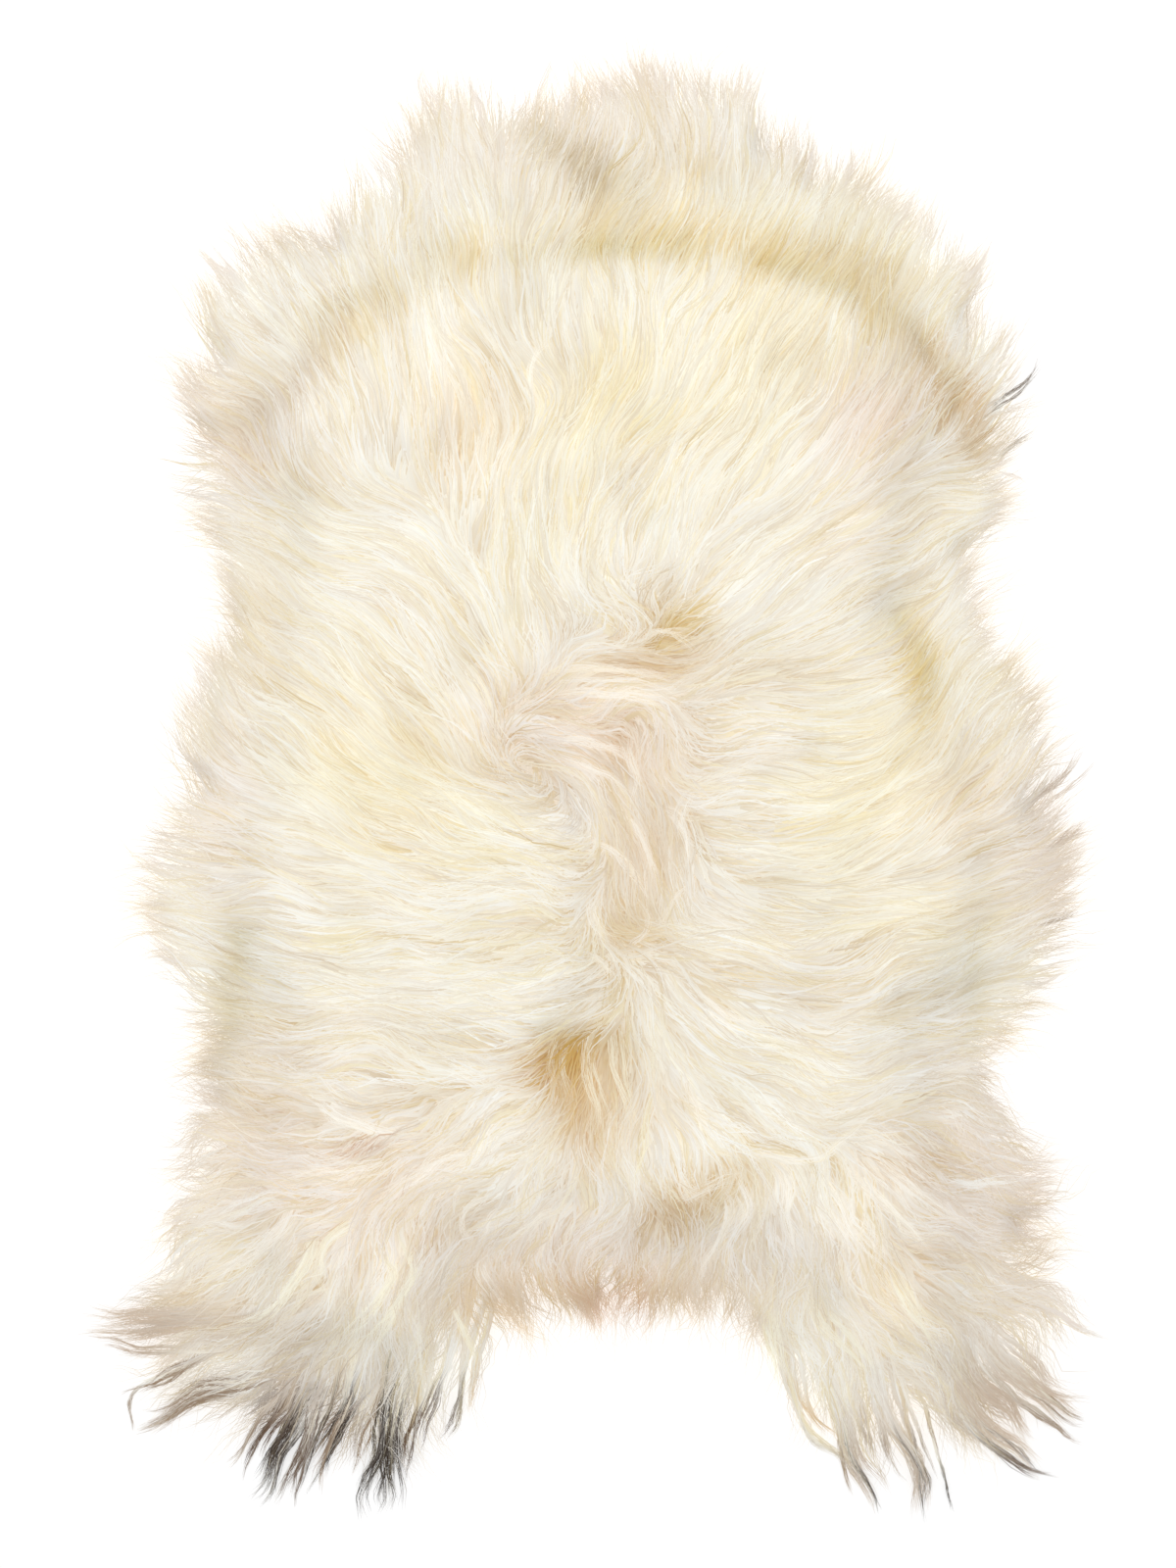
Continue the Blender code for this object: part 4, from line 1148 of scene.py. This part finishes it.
# %% Locks of the legs
LEG_LOCKS = {
    # lock: (wisps, radius at its root in mm, colour of its end, where that begins (0 root, 1 tip),
    #        then the points of its line: x, y in mm)
    "left leg, far grey": (8, 15, FAWN, 0.3, (-250, -398), (-288, -408), (-337, -413), (-372, -413),
        (-402, -412)),
    "left leg, far low edge": (2, 6, TAUPE, 0.35, (-262, -416), (-313, -428), (-360, -426),
        (-396, -419)),
    "left leg, upper thin": (3, 7, ASH, 0.3, (-262, -418), (-288, -431), (-318, -445), (-342, -459),
        (-366, -468)),
    "left leg, outer curl": (1, 2, ASH, 0.4, (-318, -446), (-342, -456), (-352, -466), (-356, -478),
        (-355, -497)),
    "left leg, outer": (6, 12, ASH, 0.25, (-214, -424), (-240, -443), (-273, -459), (-306, -471),
        (-330, -486), (-357, -499)),
    "left leg, outer, upper": (4, 9, ASH, 0.3, (-226, -430), (-266, -451), (-302, -459), (-325, -471),
        (-354, -479)),
    "left leg, grey wisp": (2, 6, ASH, 0.45, (-222, -436), (-250, -478), (-266, -501), (-278, -520),
        (-290, -541)),
    "left leg, dark, outer": (4, 9, BROWN, 0.4, (-214, -420), (-236, -468), (-257, -501), (-267, -523),
        (-269, -541)),
    "left leg, dark": (9, 13, BLACK, 0.35, (-200, -410), (-215, -454), (-231, -490), (-245, -513),
        (-250, -532), (-264, -550)),
    "left leg, dark, middle": (4, 7, BROWN, 0.35, (-196, -424), (-214, -470), (-226, -510),
        (-238, -532), (-251, -555)),
    "left leg, dark, right": (2, 5, BROWN, 0.4, (-196, -440), (-222, -500), (-231, -536),
        (-235, -558)),
    "left leg, second dark": (6, 10, BLACK, 0.35, (-170, -408), (-184, -457), (-194, -485),
        (-208, -511), (-217, -532), (-225, -552)),
    "left leg, second dark, side": (2, 5, ASH, 0.4, (-172, -430), (-200, -494), (-214, -528),
        (-214, -548)),
    "left leg, thin grey": (2, 5, ASH, 0.4, (-150, -410), (-163, -450), (-174, -485), (-182, -506),
        (-190, -530)),
    "left leg, black": (7, 9, BLACK, 0.3, (-140, -400), (-150, -440), (-160, -480), (-163, -510),
        (-175, -535), (-176, -553), (-167, -567)),
    "left leg, black, right": (6, 8, BLACK, 0.3, (-136, -404), (-150, -450), (-159, -495), (-158, -520),
        (-156, -545), (-161, -560)),
    "left leg, black, short": (2, 4, BLACK, 0.5, (-140, -430), (-154, -490), (-155, -530),
        (-152, -551)),
    "left leg, thin dark": (2, 4, BROWN, 0.4, (-126, -420), (-137, -473), (-145, -501), (-150, -532)),
    "left leg, thin short": (1, 3, BROWN, 0.4, (-128, -440), (-142, -500), (-140, -527)),
    "left leg, inner": (3, 6, BROWN, 0.5, (-100, -396), (-114, -436), (-125, -468), (-136, -492),
        (-141, -513)),
    "left leg, inner bent": (3, 5, BROWN, 0.5, (-86, -396), (-99, -433), (-104, -464), (-111, -487),
        (-124, -501), (-129, -516)),
    "left leg, innermost": (3, 6, TAN, 0.6, (-78, -392), (-88, -431), (-94, -459), (-97, -483)),
    "right leg, innermost": (3, 10, BROWN, 0.75, (138, -396), (146, -440), (157, -479), (168, -499),
        (188, -513), (202, -526), (216, -536)),
    "right leg, inner curl": (2, 4, TAN, 0.4, (146, -410), (154, -455), (162, -481), (173, -493),
        (188, -502)),
    "right leg, first long": (7, 10, TAUPE, 0.62, (160, -396), (172, -435), (186, -474), (193, -505),
        (206, -530), (214, -544), (221, -561)),
    "right leg, first long, left": (2, 5, ASH, 0.5, (166, -420), (184, -480), (189, -517), (193, -536),
        (202, -552)),
    "right leg, first long, right": (3, 6, ASH, 0.7, (176, -410), (192, -460), (202, -489), (210, -509),
        (212, -530)),
    "right leg, second long": (8, 12, TAUPE, 0.62, (200, -396), (210, -435), (221, -474), (231, -493),
        (245, -513), (250, -532), (251, -564)),
    "right leg, second long, left": (3, 6, ASH, 0.7, (204, -420), (214, -470), (221, -505), (227, -524),
        (238, -535)),
    "right leg, second long, right": (3, 6, BROWN, 0.7, (222, -420), (237, -478), (247, -503),
        (258, -536)),
    "right leg, second long, end": (2, 4, BLACK, 0.6, (226, -440), (243, -508), (252, -530),
        (248, -556)),
    "right leg, first long, dark": (2, 4, BLACK, 0.55, (166, -420), (184, -474), (192, -506),
        (205, -531), (213, -546), (219, -563)),
    "right leg, second long, dark": (2, 4, BLACK, 0.6, (206, -420), (221, -474), (233, -496),
        (245, -516), (250, -536), (250, -567)),
    "right leg, thin": (1, 2, BLACK, 0.5, (250, -470), (262, -515), (268, -538), (274, -557)),
    "right leg, single hair": (1, 3, ASH, 0.5, (236, -440), (250, -480), (262, -515)),
    "right leg, corner, dark tip": (2, 4, BROWN, 0.55, (250, -430), (288, -478), (312, -500),
        (328, -514), (341, -530)),
    "right leg, corner": (9, 13, FAWN, 0.3, (236, -396), (260, -435), (286, -474), (305, -495),
        (323, -507), (334, -520), (342, -530)),
    "right leg, corner, low hair": (3, 6, BROWN, 0.45, (256, -440), (280, -482), (306, -508),
        (330, -524), (356, -530)),
    "right leg, corner, upper": (7, 12, FAWN, 0.3, (262, -408), (290, -454), (315, -474), (330, -497),
        (340, -503)),
    "right leg, corner, inner": (4, 8, FAWN, 0.4, (238, -410), (256, -450), (270, -476), (281, -493)),
    "right leg, side": (6, 11, FAWN, 0.3, (276, -400), (319, -448), (348, -468), (366, -480),
        (371, -487)),
    "right leg, side, upper": (5, 10, FAWN, 0.4, (284, -396), (320, -430), (350, -458), (366, -464),
        (380, -468)),
    "right leg, low side hair": (2, 5, ASH, 0.45, (290, -440), (338, -481), (354, -495), (375, -506)),
    "right leg, side hair": (2, 5, ASH, 0.5, (300, -430), (340, -466), (366, -486), (387, -491)),
    "right leg, side wisp": (3, 7, MIST, 0.3, (300, -378), (348, -399), (373, -412), (397, -416)),
}
print(len(LEG_LOCKS), "locks of the legs")

# %% [markdown]
# Round the rim some wisps stand out from the rest: pale tufts at the neck and the shoulders, and a few thin
# grey or dark ones at the right side.

# %% Wisps of the rim
RIM_WISPS = {
    # wisp: as in the table of the legs
    "neck, first tuft": (4, 9, MIST, 0.2, (-104, 488), (-121, 519), (-129, 540), (-125, 552)),
    "neck, second tuft": (3, 7, MIST, 0.2, (-86, 490), (-94, 524), (-100, 543), (-98, 556)),
    "neck, middle tuft": (3, 6, MIST, 0.2, (-28, 492), (-21, 522), (-17, 540), (-13, 556)),
    "neck, faint hair": (2, 5, MIST, 0.2, (-52, 490), (-44, 520), (-30, 562)),
    "crown, left": (5, 10, MIST, 0.2, (34, 506), (36, 535), (32, 555), (34, 568)),
    "crown, right": (5, 9, MIST, 0.2, (54, 506), (58, 535), (53, 556), (56, 570)),
    "crown, far right": (3, 7, MIST, 0.3, (70, 500), (72, 524), (72, 551)),
    "crown, curl": (4, 8, MIST, 0.2, (96, 496), (110, 533), (113, 549), (123, 560)),
    "right of the neck": (3, 7, MIST, 0.2, (153, 449), (165, 486), (170, 507)),
    "right of the neck, second": (4, 8, MIST, 0.2, (182, 438), (196, 476), (203, 498)),
    "right shoulder, tuft": (4, 8, MIST, 0.2, (214, 401), (231, 431), (238, 452)),
    "right shoulder, high wisp": (4, 8, MIST, 0.2, (272, 367), (293, 401), (303, 422)),
    "right shoulder, dark wisp": (3, 5, BROWN, 0.3, (275, 270), (300, 290), (323, 306), (334, 317),
        (340, 333)),
    "right shoulder, grey wisp": (2, 5, ASH, 0.4, (283, 238), (306, 249), (327, 264), (340, 273)),
    "right shoulder, pale curl": (1, 2, MIST, 0.3, (294, 233), (317, 237), (331, 231), (331, 221)),
    "right side, grey wisp": (6, 9, TAUPE, 0.35, (308, -34), (342, -6), (361, 8), (373, 27)),
    "right side, second wisp": (5, 8, TAUPE, 0.35, (316, -64), (340, -52), (362, -37), (382, -25)),
    "right side, low wisp": (3, 7, ASH, 0.5, (308, -116), (346, -103), (368, -94), (383, -84)),
    "left shoulder, first tuft": (4, 8, MIST, 0.2, (-263, 367), (-296, 405), (-308, 414), (-316, 410)),
    "left shoulder, second tuft": (4, 8, MIST, 0.2, (-286, 272), (-318, 302), (-331, 313)),
    "left side, tuft": (4, 9, MIST, 0.2, (-304, -72), (-338, -58), (-358, -52)),
    "left side, low tuft": (4, 9, MIST, 0.2, (-300, -139), (-337, -129), (-350, -132)),
    "left waist, tuft": (3, 7, MIST, 0.2, (-263, 140), (-290, 163), (-298, 167)),
}
print(len(RIM_WISPS), "wisps of the rim")

# %% [markdown]
# Over the parting lie loose curls. They turn in two whorls, hang into the hollow over the loin and tangle on
# the right haunch.

# %% Curls of the back
BACK_CURLS = {
    # curl: as in the table of the legs
    "over the first whorl": (4, 8, PALE, 0.0, (-42, 84), (-7, 89), (34, 84), (61, 81), (85, 75)),
    "over the first whorl, low": (4, 7, PALE, 0.0, (-37, 73), (1, 75), (38, 71), (72, 56)),
    "first whorl, loop": (2, 5, PALE, 0.0, (7, 51), (19, 62), (32, 66), (47, 60), (46, 48)),
    "first whorl, inner loop": (2, 5, PALE, 0.0, (2, 60), (17, 72), (40, 74), (56, 65)),
    "first whorl, end": (3, 6, PALE, 0.0, (31, 114), (50, 122), (68, 116), (85, 101)),
    "middle, fall": (3, 6, PALE, 0.0, (22, 43), (27, 21), (32, 2), (34, -21)),
    "middle, sweep": (4, 7, PALE, 0.0, (-42, 36), (-10, 33), (20, 22), (34, -3)),
    "middle, low sweep": (3, 6, PALE, 0.0, (-37, 24), (-7, 14), (16, 2), (31, -25)),
    "lower back, fall": (4, 7, PALE, 0.0, (16, -9), (32, -32), (44, -58), (49, -90)),
    "lower back, left": (3, 6, PALE, 0.0, (-7, -36), (16, -49), (34, -73), (40, -99)),
    "lower back, arc": (2, 4, PALE, 0.0, (61, -37), (62, -19), (70, -4), (86, 4)),
    "lower back, bow": (3, 5, PALE, 0.0, (40, -18), (58, -24), (69, -49), (64, -75)),
    "lower back, part line": (2, 3, PALE, 0.0, (73, -68), (59, -84), (50, -99), (41, -114)),
    "second whorl": (3, 6, PALE, 0.0, (2, -77), (-7, -96), (2, -114), (23, -120)),
    "second whorl, round": (2, 5, PALE, 0.0, (23, -120), (34, -107), (31, -92), (16, -84)),
    "second whorl, tail": (2, 4, PALE, 0.0, (-13, -124), (4, -133), (22, -151)),
    "hollow, left": (3, 8, YELLOW, 0.0, (-26, -186), (-31, -208), (-26, -231), (-29, -253)),
    "hollow, middle": (3, 8, YELLOW, 0.0, (-7, -189), (-8, -216), (1, -246), (-3, -279)),
    "hollow, right": (3, 8, YELLOW, 0.0, (14, -193), (17, -219), (25, -246), (31, -272)),
    "tangle, across": (3, 6, PALE, 0.0, (50, -317), (72, -307), (94, -294), (113, -291)),
    "tangle, low": (2, 5, PALE, 0.0, (46, -291), (64, -302), (87, -317), (104, -328)),
    "tangle, curl": (2, 4, PALE, 0.0, (68, -287), (61, -302), (72, -317), (83, -309)),
    "loin, sweep": (3, 6, PALE, 0.0, (68, -148), (98, -171), (136, -186), (166, -187)),
    "withers, part": (2, 5, PALE, 0.0, (-46, 287), (-52, 306), (-48, 328), (-37, 347)),
}
print(len(BACK_CURLS), "curls of the back")

# %% [markdown]
# On the haunches the wool is longer and hangs in clear S-shaped waves that run down into the legs. The lay
# alone would give short, even ones, so the main ones are drawn too.

# %% Locks of the haunches
HAUNCH_LOCKS = {
    # lock: as in the table of the legs
    "left, pale edge": (4, 7, PALE, 0.0, (-139, -262), (-164, -258), (-194, -247), (-222, -231)),
    "left, high wave": (4, 7, PALE, 0.0, (-77, -276), (-114, -278), (-132, -293), (-149, -303),
        (-169, -313)),
    "left, long wave": (5, 8, PALE, 0.0, (-139, -268), (-152, -281), (-177, -291), (-214, -293),
        (-239, -301), (-259, -318)),
    "left, side wave": (4, 7, CREAM, 0.0, (-234, -316), (-249, -311), (-269, -321), (-289, -331),
        (-307, -341)),
    "left, side fall": (4, 8, PALE, 0.0, (-229, -313), (-237, -333), (-254, -348), (-282, -366),
        (-307, -381)),
    "left, long sweep": (5, 8, YELLOW, 0.0, (-214, -323), (-219, -353), (-234, -378), (-254, -401),
        (-289, -413), (-327, -416)),
    "left, hook": (4, 7, YELLOW, 0.0, (-174, -326), (-197, -338), (-207, -356), (-204, -378),
        (-194, -396)),
    "left, middle S": (5, 8, YELLOW, 0.0, (-164, -333), (-157, -353), (-149, -368), (-164, -391),
        (-182, -413), (-204, -433)),
    "left, inner S": (5, 8, YELLOW, 0.0, (-139, -333), (-137, -353), (-139, -373), (-152, -393),
        (-164, -418), (-174, -443)),
    "left, curl": (2, 5, PALE, 0.0, (-77, -313), (-94, -321), (-97, -336), (-89, -343), (-102, -351)),
    "left, second curl": (2, 5, PALE, 0.0, (-67, -318), (-79, -326), (-82, -341), (-97, -353)),
    "left, low sweep": (3, 6, PALE, 0.0, (-14, -318), (-39, -326), (-64, -341), (-82, -346)),
    "left, fringe": (3, 6, PALE, 0.0, (-82, -348), (-87, -368), (-77, -388), (-67, -406)),
    "left, inner edge": (4, 7, YELLOW, 0.0, (-107, -388), (-99, -413), (-89, -438), (-92, -448)),
    "right, high fall": (4, 7, PALE, 0.0, (68, -208), (73, -233), (88, -263), (106, -278)),
    "right, part line": (3, 5, PALE, 0.0, (101, -273), (131, -278), (163, -283), (183, -268),
        (213, -243)),
    "right, first wave": (4, 7, PALE, 0.0, (133, -278), (146, -301), (143, -323), (148, -343),
        (153, -358)),
    "right, curl": (3, 5, PALE, 0.0, (103, -298), (111, -318), (106, -336), (101, -343)),
    "right, long curl": (3, 6, PALE, 0.0, (86, -303), (96, -318), (88, -343), (76, -373), (68, -391)),
    "right, fan": (4, 7, PALE, 0.0, (171, -293), (183, -311), (193, -333), (213, -353), (236, -368)),
    "right, fan, second": (4, 7, PALE, 0.0, (186, -281), (203, -298), (223, -318), (241, -333),
        (261, -363)),
    "right, fan, third": (4, 7, PALE, 0.0, (203, -273), (228, -293), (253, -313), (278, -328),
        (298, -333)),
    "right, side wave": (4, 7, CREAM, 0.0, (258, -298), (283, -303), (298, -301), (323, -303),
        (346, -301)),
    "right, thin wave": (2, 5, PALE, 0.0, (193, -293), (198, -313), (196, -333), (186, -358)),
    "right, leg, outer": (5, 9, YELLOW, 0.0, (216, -356), (231, -383), (248, -408), (263, -433),
        (271, -448)),
    "right, leg, middle": (5, 9, YELLOW, 0.0, (163, -383), (173, -408), (198, -431), (213, -458)),
    "right, leg, inner": (5, 9, YELLOW, 0.0, (133, -388), (136, -413), (140, -433), (148, -458)),
}

print(len(HAUNCH_LOCKS), "locks of the haunches")

# %% Drawing the locks of a table
WISP_WAVE = ((1.6 * MM, 60 * MM, False), (0.8 * MM, 28 * MM, False))
HAIR_WAVE = ((0.9 * MM, 50 * MM, False), (0.5 * MM, 20 * MM, False))
LOCK_POINTS = 11                   # of each of their strands
LOCK_DEPTH = 0.88                  # where they come out of the pile, as a share of its height
COLOUR_RUN = 0.4                   # the share of a strand's length in which its end colour comes in
PALE_SHARE, PALE_STRENGTH = 0.2, 0.3       # so many strands of a lock stay pale, and have so little of it
LOCK_ROLL = math.radians(14)

def smooth_line(points):
    """An open smooth curve through the points, with TRACE_STEPS even steps."""
    ends = np.vstack([2 * points[0] - points[1], points, 2 * points[-1] - points[-2]])
    dense = []
    for a, b, c, d in zip(ends, ends[1:], ends[2:], ends[3:]):
        for t in np.linspace(0, 1, 12, endpoint=False):
            dense.append(0.5 * (2 * b + (c - a) * t + (2 * a - 5 * b + 4 * c - d) * t ** 2
                                + (3 * b - a - 3 * c + d) * t ** 3))
    dense = np.array(dense + [points[-1]])
    run = np.append(0, np.cumsum(np.linalg.norm(np.diff(dense, axis=0), axis=1)))
    even = np.linspace(0, run[-1], TRACE_STEPS + 1)
    return np.stack([np.interp(even, run, dense[:, i]) for i in (0, 1)], -1)

def joined(*layers):
    """Layers with the same number of points, as one."""
    return {key: np.concatenate([layer[key] for layer in layers]) if key != "seed" else layers[0][key]
            for key in layers[0]}

def drawn_locks(name, table, strands, width, gather, splay, crown, root_shade, seed, strength, tip_power=4.0):
    """The locks of a table, in the form that ribbons() takes.

    gather and splay hold one value for the wisps of a lock and one for the strands of a wisp. strength is how
    much of its end colour a strand takes, and a high tip_power keeps it broad nearly to its tip."""
    layers = []
    for wisps, radius, colour, begins, *line in table.values():
        middle = smooth_line(np.array(line) * MM)
        parts, _, _ = strands_of(middle[None], wisps, radius * MM, gather[0], WISP_WAVE,
                                 TRACE_STEPS, 0.22, splay[0])
        plan, lock, off = strands_of(parts, strands, (1.2 + 0.25 * radius) * MM, gather[1], HAIR_WAVE,
                                     LOCK_POINTS, 0.30, splay[1])
        number = len(plan)
        lines = raised(plan, np.full(number, LOCK_DEPTH), rng.normal(1.0, 0.02, wisps)[lock],
                       crown * (1 - np.minimum(off ** 2, 1.5)), rng.normal(0, 0.6 * MM, number))
        t = np.linspace(0, 1, LOCK_POINTS + 1)[None]
        start = begins + rng.normal(0, 0.05, number)[:, None] * (begins > 0)
        ramp = np.clip((t - start) / COLOUR_RUN, 0, 1) if begins > 0 else 1.0 + 0 * t
        taken = np.where(rng.random(number) < PALE_SHARE, PALE_STRENGTH, rng.uniform(0.8, 1.0, number))
        share = ramp * ramp * (3 - 2 * ramp) * strength * taken[:, None]
        colours = strand_colours(plan, lock, wisps, root_shade)
        widths = taper(LOCK_POINTS, width * rng.uniform(0.7, 1.25, number), tip_power)
        layers.append(dict(lines=lines, widths=widths, rolls=rng.normal(0, LOCK_ROLL, number),
                           colours=colours + (colour - colours) * share[..., None],
                           root=np.repeat(middle[:1], number, axis=0), seed=seed))
    made = joined(*layers)
    print(name, len(made["lines"]), "strands,", len(made["lines"]) * (2 * LOCK_POINTS - 1), "triangles")
    return made

# %% The drawn locks
legs = drawn_locks("leg locks:", LEG_LOCKS, strands=18, width=0.65 * MM, gather=(0.30, 0.70),
                   splay=(0.40, 0.35), crown=1.2 * MM, root_shade=0.06, seed=35, strength=1.0, tip_power=3.5)
wisps = drawn_locks("rim wisps:", RIM_WISPS, strands=10, width=0.45 * MM, gather=(0.3, 0.6),
                    splay=(0.5, 0.4), crown=0.8 * MM, root_shade=0.06, seed=36, strength=0.85)
curls = drawn_locks("back curls:", BACK_CURLS, strands=12, width=0.45 * MM, gather=(0.1, 0.2),
                    splay=(0.6, 0.6), crown=2.6 * MM, root_shade=0.30, seed=37, strength=0.65, tip_power=1.8)
waves = drawn_locks("haunch locks:", HAUNCH_LOCKS, strands=12, width=0.5 * MM, gather=(0.2, 0.4),
                    splay=(0.3, 0.3), crown=2.2 * MM, root_shade=0.20, seed=39, strength=0.65, tip_power=2.0)

# %% [markdown]
# ## The pieces
#
# One mesh for all the wool would be too heavy for most programs, so the two big layers are split by zone. A
# strand belongs to the zone where it grows, and its end may lie over the next one.

# %% Pieces
NECK_LINE = 0.27                   # the wool further forward than this is that of the neck
ZONES = {
    # zone: which of the strands belong to it, by where they grow (x, y in metres)
    "neck": lambda x, y: y > NECK_LINE,
    "left": lambda x, y: (y <= NECK_LINE) & (y > HAUNCH_LINE) & (x < 0.0),
    "right": lambda x, y: (y <= NECK_LINE) & (y > HAUNCH_LINE) & (x >= 0.0),
    "haunches": lambda x, y: y <= HAUNCH_LINE,
}

def make_piece(name, data, chosen=slice(None)):
    """The mesh of the chosen strands of a layer, in its material."""
    piece = ribbons(name, *(data[key][chosen] for key in ("lines", "widths", "rolls", "colours")), data["seed"])
    piece.data.materials.append(fleece_material)
    return piece

def make_pieces(kind, data):
    """A layer as one mesh for each zone."""
    x, y = data["root"][:, 0], data["root"][:, 1]
    return [make_piece(f"{kind}_{zone}", data, belongs(x, y)) for zone, belongs in ZONES.items()]

strand_pieces = make_pieces("deep_wool", deep) + make_pieces("top_coat", top)
for name, data in (("long_hair", over), ("parting", parting), ("rim_wool", rim), ("leg_locks", legs),
                   ("rim_wisps", wisps), ("back_curls", curls), ("haunch_locks", waves)):
    strand_pieces.append(make_piece(name, data))
wool = [underwool] + strand_pieces
faces = {piece.name: sum(len(p.vertices) - 2 for p in piece.data.polygons) for piece in wool}
print("triangles:", faces, "together", sum(faces.values()))

# %% [markdown]
# Fine hair lets most of the light through, which is why a fleece has no hard shadows inside it. These
# ribbons are solid, so they are told to cast none. The under-wool still does, and that shades the swells,
# the creases and the edge of the rug.

# %% Soft shadows
# the shade that these ribbons would cast is painted into their colours instead
for piece in strand_pieces:
    piece.visible_shadow = False
print(len(strand_pieces), "pieces cast no shadow")

# %% [markdown]
# ## The hide
#
# The skin itself is the outline from before, filled and 1.5 mm thick, flat on the floor. A flat curve with a
# little extrusion gives just that, with clean edges. Its suede is pale and cloudy, with a fine nap.

# %% Hide
HIDE_THICKNESS = 1.5 * MM

def make_hide():
    """The tanned skin, laid flat."""
    data = bpy.data.curves.new("hide", "CURVE")
    data.dimensions = "2D"
    data.fill_mode = "BOTH"
    data.extrude = HIDE_THICKNESS / 2
    spline = data.splines.new("POLY")
    spline.points.add(len(edge) - 1)
    for point, (x, y) in zip(spline.points, edge):
        point.co = (x, y, 0, 1)
    spline.use_cyclic_u = True
    shape = bpy.data.objects.new("hide outline", data)
    bpy.context.scene.collection.objects.link(shape)
    mesh = bpy.data.meshes.new_from_object(shape.evaluated_get(bpy.context.evaluated_depsgraph_get()))
    bpy.data.objects.remove(shape)
    mesh.transform(Matrix.Translation((0, 0, HIDE_THICKNESS / 2)))
    hide = bpy.data.objects.new("hide", mesh)
    bpy.context.scene.collection.objects.link(hide)
    return hide

hide = make_hide()
print("hide:", len(hide.data.polygons), "faces")

# %% Suede
def suede_material():
    """The flesh side of the skin: cloudy in colour, with a nap in the bump."""
    material, tree, shader = new_material("suede")
    nodes, links = tree.nodes, tree.links
    cloudy = nodes.new("ShaderNodeTexNoise")
    cloudy.inputs["Scale"].default_value = 14.0
    cloudy.inputs["Detail"].default_value = 6.0
    ramp = nodes.new("ShaderNodeValToRGB")
    ramp.color_ramp.elements[0].color = (*paint(196, 172, 138), 1)
    ramp.color_ramp.elements[1].color = (*paint(226, 208, 178), 1)
    links.new(cloudy.outputs["Fac"], ramp.inputs["Fac"])
    links.new(ramp.outputs["Color"], shader.inputs["Base Color"])
    nap = nodes.new("ShaderNodeTexNoise")
    nap.inputs["Scale"].default_value = 900.0
    nap.inputs["Detail"].default_value = 3.0
    relief = nodes.new("ShaderNodeBump")
    relief.inputs["Strength"].default_value = 0.4
    relief.inputs["Distance"].default_value = 0.2 * MM
    links.new(nap.outputs["Fac"], relief.inputs["Height"])
    links.new(relief.outputs["Normal"], shader.inputs["Normal"])
    shader.inputs["Roughness"].default_value = 0.85
    shader.inputs["Sheen Weight"].default_value = 0.2
    return material

hide.data.materials.append(suede_material())
print("materials:", fleece_material.name, "and", hide.data.materials[0].name)

# %% [markdown]
# ## Into the frame
#
# A rug has no moving part, so everything rides on the one body. All the wool and the hide together take the
# place of the modelled skin. The hide is the sheet that a maker would lay flat and measure, and the wool goes
# wherever it goes.

# %% Riding on the frame
for piece in wool:
    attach(piece, "root")
    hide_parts("sheepskin")
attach(hide, "root")
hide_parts("sheepskin")
print(len(wool) + 1, "pieces ride on the root")
